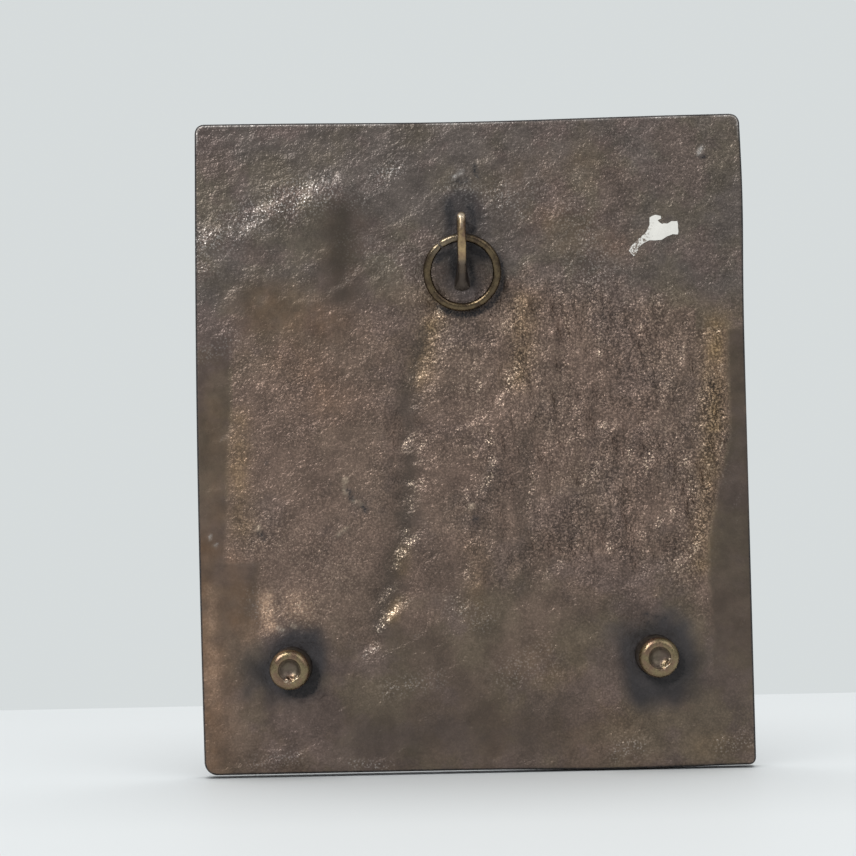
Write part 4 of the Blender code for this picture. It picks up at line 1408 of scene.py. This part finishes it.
def footProfile():
    tip, radius = feet["standoff"], feet["radius"]
    rimOuter = radius - feet["rounding"]
    dimple = rimOuter - feet["rimFlat"] - feet["lip"]
    bowl = [(0, tip - feet["dimpleDepth"])]
    for share in feet["bowlShares"]:
        risen = 1 - feet["bowlRise"] * share ** feet["bowlCurve"]
        bowl.append((dimple * share, tip - feet["dimpleDepth"] * risen))
    lipRadius = feet["lipRounding"]
    lip = arc((dimple + feet["lip"] + feet["baseSeam"], tip - lipRadius), lipRadius, 165, 90, 5)
    rounding = arc((rimOuter, tip - feet["rounding"]), feet["rounding"], 90, 0, 12)
    sides = [(radius, height) for height in (*feet["sideHeights"], feet["flareHeight"])]
    flared = radius + feet["flare"]
    base = [(flared, feet["baseSeam"]), (flared, -feet["sunk"]), (0, -feet["sunk"])]
    return [*bowl, *lip, *rounding, *sides, *base]


def makeFoot(name, finish):
    # the hole's lower lip is torn where its plug broke out
    points, faces = lathe(footProfile(), feet["steps"])
    radius, height = np.hypot(points[:, 0], points[:, 2]), -points[:, 1]
    turn = np.arctan2(points[:, 2], points[:, 0]) - math.radians(feet["tornAt"][name])
    near = past(np.cos(turn), math.cos(feet["tornSpread"]), feet["tornFade"])
    inHole = (height > feet["holeFrom"]) * (radius < feet["holeRadius"])
    torn = near * inHole * past(radius, *feet["tornInner"])
    rough = layered(points[:, 0], points[:, 2], 51, feet["tornRagged"])
    waviness = layered(points[:, 0] + height, points[:, 2], 53, feet["waves"])
    tornRise = np.maximum(feet["tornHeight"] + feet["tornUneven"] * rough, 0)
    tornRise = tornRise * (1 - past(radius, *feet["tornOuter"]))
    points[:, 1] -= torn * past(radius, *feet["tornRaised"]) * tornRise + waviness
    points[:, 1] = np.maximum(points[:, 1], plate["slack"] - feet["standoff"])
    centreX, centreZ = feet["places"][name]
    points = points + np.array([centreX, plate["backY"], centreZ])
    piece = makePiece(name + "_turned", points, faces, finish, "plaque")
    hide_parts(name)
    inDimple = feet["dimpleShare"] * before(radius, *feet["dimpleShade"]) * (height > feet["holeFrom"])
    nearBase = before(height, *feet["baseShade"]) * (radius > feet["baseFrom"])
    paint(piece, "shade", np.maximum(inDimple * (1 - feet["tornClear"] * torn), nearBase))
    # the torn lip is painted bright: bare metal, and a painted highlight on the hole's lower wall
    bareAndHighlight = torn * past(radius, *feet["bareAndHighlightFrom"]) * eased(0.2 + 0.9 * rough)
    paint(piece, "bareAndHighlight", feet["bareAndHighlightShare"] * bareAndHighlight)


eye = {
    "standoff": 0.0112,
    "sunk": 0.0004,
    "above": 0.0082,
    "below": 0.0172,
    "thickness": 0.0027,
    "baseWidth": 0.0058,
    "topBaseWidth": 0.0031,
    "flareDepth": 0.0040,
    "holeRadius": 0.0026,
    "clearance": 0.0004,
    "arcSteps": 14,
    "sideSteps": 10,
    "levels": ((0, 0.3, 10), (0.36, 0.84, 12), (0.87, 1, 10)),
    "edgeRounding": 0.85,
    # its lower and upper ends, as shares of below and above, from the plate outwards
    "lowerEnd": ((0, 1), (0.25, 0.82), (0.71, 0.515), (0.92, 0.24), (1, -0.09)),
    "upperEnd": ((0, 1.08), (0.25, 1.0), (0.83, 0.985), (0.93, 0.91), (1, 0.76)),
    "widerBelow": (-0.0075, 0.0080),
    # the hole and its softened edges
    "holeSteps": 48,
    "holeReach": 0.006,
    "holeFlare": 0.0004,
    "holeFlareEnd": 0.0012,
    "holeStraight": 0.6,
    "sharpAngle": math.radians(38),
    # what is painted on it, shade low down and a painted highlight on its upper outer part: a start or an
    # end and its fade
    "shadeFrom": (-0.0020, 0.0045),
    "shadeBelow": (-0.0062, 0.0022),
    "shadeBelowShare": 0.9,
    "highlightAbove": (0.0045, 0.0020),
    "highlightBefore": (-0.0015, 0.0015),
    "highlightShare": 0.65,
}


def eyeSection(share):
    depth = share * eye["standoff"]
    roundStart = eye["standoff"] - eye["thickness"] / 2
    over = max(0.0, (depth - roundStart) / (eye["standoff"] - roundStart))
    halfWidth = eye["thickness"] * math.sqrt(1 - eye["edgeRounding"] * over**2) / 2
    bottom, top = (np.interp(share, *zip(*eye[end])) for end in ("lowerEnd", "upperEnd"))
    return -eye["below"] * bottom, eye["above"] * top, halfWidth


def eyeOutline(share):
    low, high, halfWidth = eyeSection(share)
    outline = [*arc((0, high - halfWidth), halfWidth, 0, 180, eye["arcSteps"])]
    down = np.linspace(high - halfWidth, low + halfWidth, eye["sideSteps"] + 2)[1:-1]
    outline += [(-halfWidth, z) for z in down]
    outline += arc((0, low + halfWidth), halfWidth, 180, 360, eye["arcSteps"])
    outline += [(halfWidth, z) for z in down[::-1]]
    flare = max(0.0, 1 - share * eye["standoff"] / eye["flareDepth"]) ** 2
    for x, z in outline:
        lower = before(z, *eye["widerBelow"])
        width = eye["topBaseWidth"] + (eye["baseWidth"] - eye["topBaseWidth"]) * lower
        yield x * (1 + flare * (width / eye["thickness"] - 1)), z


def makeEye(finish):
    points, faces = [], []
    levels = np.concatenate([np.linspace(*span) for span in eye["levels"]])
    for share in levels:
        y = plate["backY"] + eye["sunk"] - share * (eye["standoff"] + eye["sunk"])
        points += [(x, y, z) for x, z in eyeOutline(share)]
    count = len(points) // len(levels)
    for start in range(0, len(points) - count, count):
        for index in range(count):
            after = (index + 1) % count
            faces.append((start + index, start + after, start + count + after, start + count + index))
    faces.append(tuple(range(count)))
    faces.append(tuple(range(len(points) - count, len(points))))
    piece = makePiece("eye_lug", points, faces, finish, "plaque")
    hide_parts("hanging_eye")
    cutHole(piece)
    _, y, z = np.array([vertex.co for vertex in piece.data.vertices]).T
    lowDown = eye["shadeBelowShare"] * before(z, *eye["shadeBelow"])
    paint(piece, "shade", np.maximum(past(y, *eye["shadeFrom"]), lowDown))
    # painted highlight on the upper outer part
    highlightMask = past(z, *eye["highlightAbove"]) * before(y, *eye["highlightBefore"])
    paint(piece, "bareAndHighlight", eye["highlightShare"] * highlightMask)


def cutHole(piece):
    # the hole has softened edges, so its cutter flares at both faces
    half, radius = eye["thickness"] / 2, eye["holeRadius"]
    wide, wider = radius + eye["holeFlare"], radius + eye["holeFlareEnd"]
    straight, reach = eye["holeStraight"] * half, eye["holeReach"]
    profile = [(0, -reach), (wider, -reach), (wide, -half), (radius, -straight)]
    profile += [(radius, straight), (wide, half), (wider, reach), (0, reach)]
    points, faces = lathe(profile, eye["holeSteps"])
    turned = points @ np.array(Matrix.Rotation(math.pi / 2, 3, "Z")).T
    turned[:, 2] += radius - ring["wire"] - eye["clearance"]
    cutter = bpy.data.objects.new("hole", closedMesh("hole", turned, faces))
    bpy.context.scene.collection.objects.link(cutter)
    cut = piece.modifiers.new("hole", "BOOLEAN")
    cut.operation = "DIFFERENCE"
    cut.object = cutter
    bpy.context.view_layer.update()
    made = bpy.data.meshes.new_from_object(piece.evaluated_get(bpy.context.evaluated_depsgraph_get()))
    piece.modifiers.clear()
    piece.data = made
    made.shade_smooth()
    made.set_sharp_from_angle(angle=eye["sharpAngle"])
    bpy.data.objects.remove(cutter)


ring = {
    "radius": 0.0114,
    "wire": 0.00138,
    "slit": 0.0006,
    "slitAngle": math.radians(128),
    # it leans until its low side is 0.3 mm off the plate
    "tilt": math.asin((0.0070 - 0.0014 - 0.0003) / (2 * 0.0114)),
    "count": 150,
    "sides": 24,
    "endShares": (0.82, 0.92, 0.97, 1.0),
    "bend": 0.0036,
    # what is painted on it: shade by how near the top, and a painted highlight by how near its upper left
    # side
    "shadeFrom": (0.985, 0.012),
    "shadeShare": 0.6,
    "highlightAt": math.radians(120),
    "bareAndHighlightFrom": (0.8, 0.2),
    "bareAndHighlightShare": 0.12,
}


def makeRing(finish):
    count, sides, radius = ring["count"], ring["sides"], ring["radius"]
    halfSlit = ring["slit"] / 2 / radius
    tilt = Matrix.Rotation(ring["tilt"], 3, "X")
    points, faces, angles = [], [], []
    for index in range(count):
        fromEnd = min(index, count - 1 - index, len(ring["endShares"]) - 1)
        angle = ring["slitAngle"] + halfSlit + (2 * math.pi - 2 * halfSlit) * index / (count - 1)
        bent = 1 + ring["bend"] * math.sin(3 * angle)
        thick = ring["wire"] * ring["endShares"][fromEnd]
        for side in range(sides):
            turn = 2 * math.pi * side / sides
            reach = radius * bent + thick * math.cos(turn)
            spot = (reach * math.cos(angle), thick * math.sin(turn), reach * math.sin(angle) - radius)
            points.append(tilt @ Vector(spot))
            angles.append(angle)
    for near in range(0, len(points) - sides, sides):
        for side in range(sides):
            after = (side + 1) % sides
            faces.append((near + side, near + after, near + sides + after, near + sides + side))
    faces.append(tuple(range(sides)))
    faces.append(tuple(range(len(points) - sides, len(points))))
    piece = makePiece("wire_ring", points, faces, finish, "ring")
    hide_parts("hanging_ring")
    angles = np.array(angles)
    paint(piece, "shade", ring["shadeShare"] * past(np.sin(angles), *ring["shadeFrom"]))
    # painted highlight on the upper left side
    paint(piece, "bareAndHighlight", ring["bareAndHighlightShare"] * past(np.cos(angles - ring["highlightAt"]), *ring["bareAndHighlightFrom"]))


# a torn scrap of old paper stuck to the back

scrap = {
    "outline": (
        (0.789, 0.212), (0.794, 0.204), (0.801, 0.197), (0.811, 0.190), (0.821, 0.183), (0.826, 0.173),
        (0.828, 0.160), (0.838, 0.157), (0.848, 0.158), (0.849, 0.162), (0.842, 0.165), (0.850, 0.171),
        (0.860, 0.170), (0.868, 0.167), (0.878, 0.167), (0.879, 0.188), (0.869, 0.187), (0.858, 0.190),
        (0.849, 0.195), (0.838, 0.196), (0.826, 0.196), (0.816, 0.200), (0.806, 0.206), (0.803, 0.214),
        (0.797, 0.219),
    ),
    "thickness": 0.00014,
    "cuts": 3,
    "ragged": ((0.0012, 0.0002),),
    "paper": (0.72, 0.70, 0.65),
    "worn": (0.16, 0.125, 0.10),
    "roughness": 0.9,
    "fibres": (0.0007, 4, 0.7),
    "wornRange": (0.66, 0.78),
    "wornMore": 0.23,
    # its tail is worn thin: across, and over this share of the width
    "thin": (0.848, 0.040),
}


def inOrder(shape):
    # bmesh leaves points and faces in an order that differs from run to run
    points = np.array([tuple(vertex.co) for vertex in shape.verts])
    order = np.lexsort(np.round(points, 6).T)
    rank = np.argsort(order).tolist()
    shape.verts.index_update()
    faces = []
    for face in shape.faces:
        corners = [rank[vertex.index] for vertex in face.verts]
        first = corners.index(min(corners))
        faces.append(tuple(corners[first:] + corners[:first]))
    return points[order], sorted(faces)


def makeScrap():
    finish = Finish("old_paper")
    fibres = finish.noise(*scrap["fibres"])
    worn = finish.ramp(fibres + finish.painted("thin") * scrap["wornMore"], *scrap["wornRange"])
    colour = finish.mix(worn, scrap["paper"], scrap["worn"])
    finish.shade(Base_Color=finish.scaled(colour, 0.92 + fibres * 0.16), Roughness=scrap["roughness"])
    shape = bmesh.new()
    face = shape.faces.new([shape.verts.new((x, 0, z)) for x, z in placed(scrap["outline"])])
    bmesh.ops.triangulate(shape, faces=[face])
    for _ in range(scrap["cuts"]):
        bmesh.ops.subdivide_edges(shape, edges=shape.edges, cuts=1, use_grid_fill=True)
    flatX, flatZ = np.array([(vertex.co.x, vertex.co.z) for vertex in shape.verts]).T
    x = flatX + layered(flatX, flatZ, 61, scrap["ragged"])
    z = flatZ + layered(flatX, flatZ, 62, scrap["ragged"])
    y = backY(x, z, np.ones_like(x)) - scrap["thickness"]
    for vertex, spot in zip(shape.verts, zip(x, y, z)):
        vertex.co = spot
    made = bmesh.ops.extrude_face_region(shape, geom=list(shape.faces))
    backs = [item for item in made["geom"] if isinstance(item, bmesh.types.BMVert)]
    bmesh.ops.translate(shape, verts=backs, vec=(0, 2 * scrap["thickness"], 0))
    points, faces = inOrder(shape)
    shape.free()
    piece = makePiece("paper_scrap", points, faces, finish, "plaque")
    across, _ = shares(points[:, 0], points[:, 2])
    paint(piece, "thin", before(across, *scrap["thin"]))


litOnly = {name: bpy.data.collections.new(name + "_only") for name in ("plaque", "table")}
makeCamera()
makeWorld()
makeTable()
for name, settings in lamps.items():
    makeLamp(name, settings, litOnly[settings["lights"]])
bpy.context.scene.view_settings.view_transform = "Standard"
print("stage ready")

makePlate()
footBrass = brassFinish("foot_brass", brass["olive"], brass["brown"], brass["footRoughness"])
for name in feet["places"]:
    makeFoot(name, footBrass)
makeEye(brassFinish("eye_brass", brass["golden"], brass["brown"], brass["eyeRoughness"]))
makeRing(brassFinish("ring_brass", brass["ring"], brass["ringBrown"], brass["ringRoughness"]))
makeScrap()
print("hardware made")

# each mesh goes into the collection whose lamps light it
for piece in bpy.context.scene.objects:
    if piece.type == "MESH":
        litOnly["table" if piece.name == "table_top" else "plaque"].objects.link(piece)
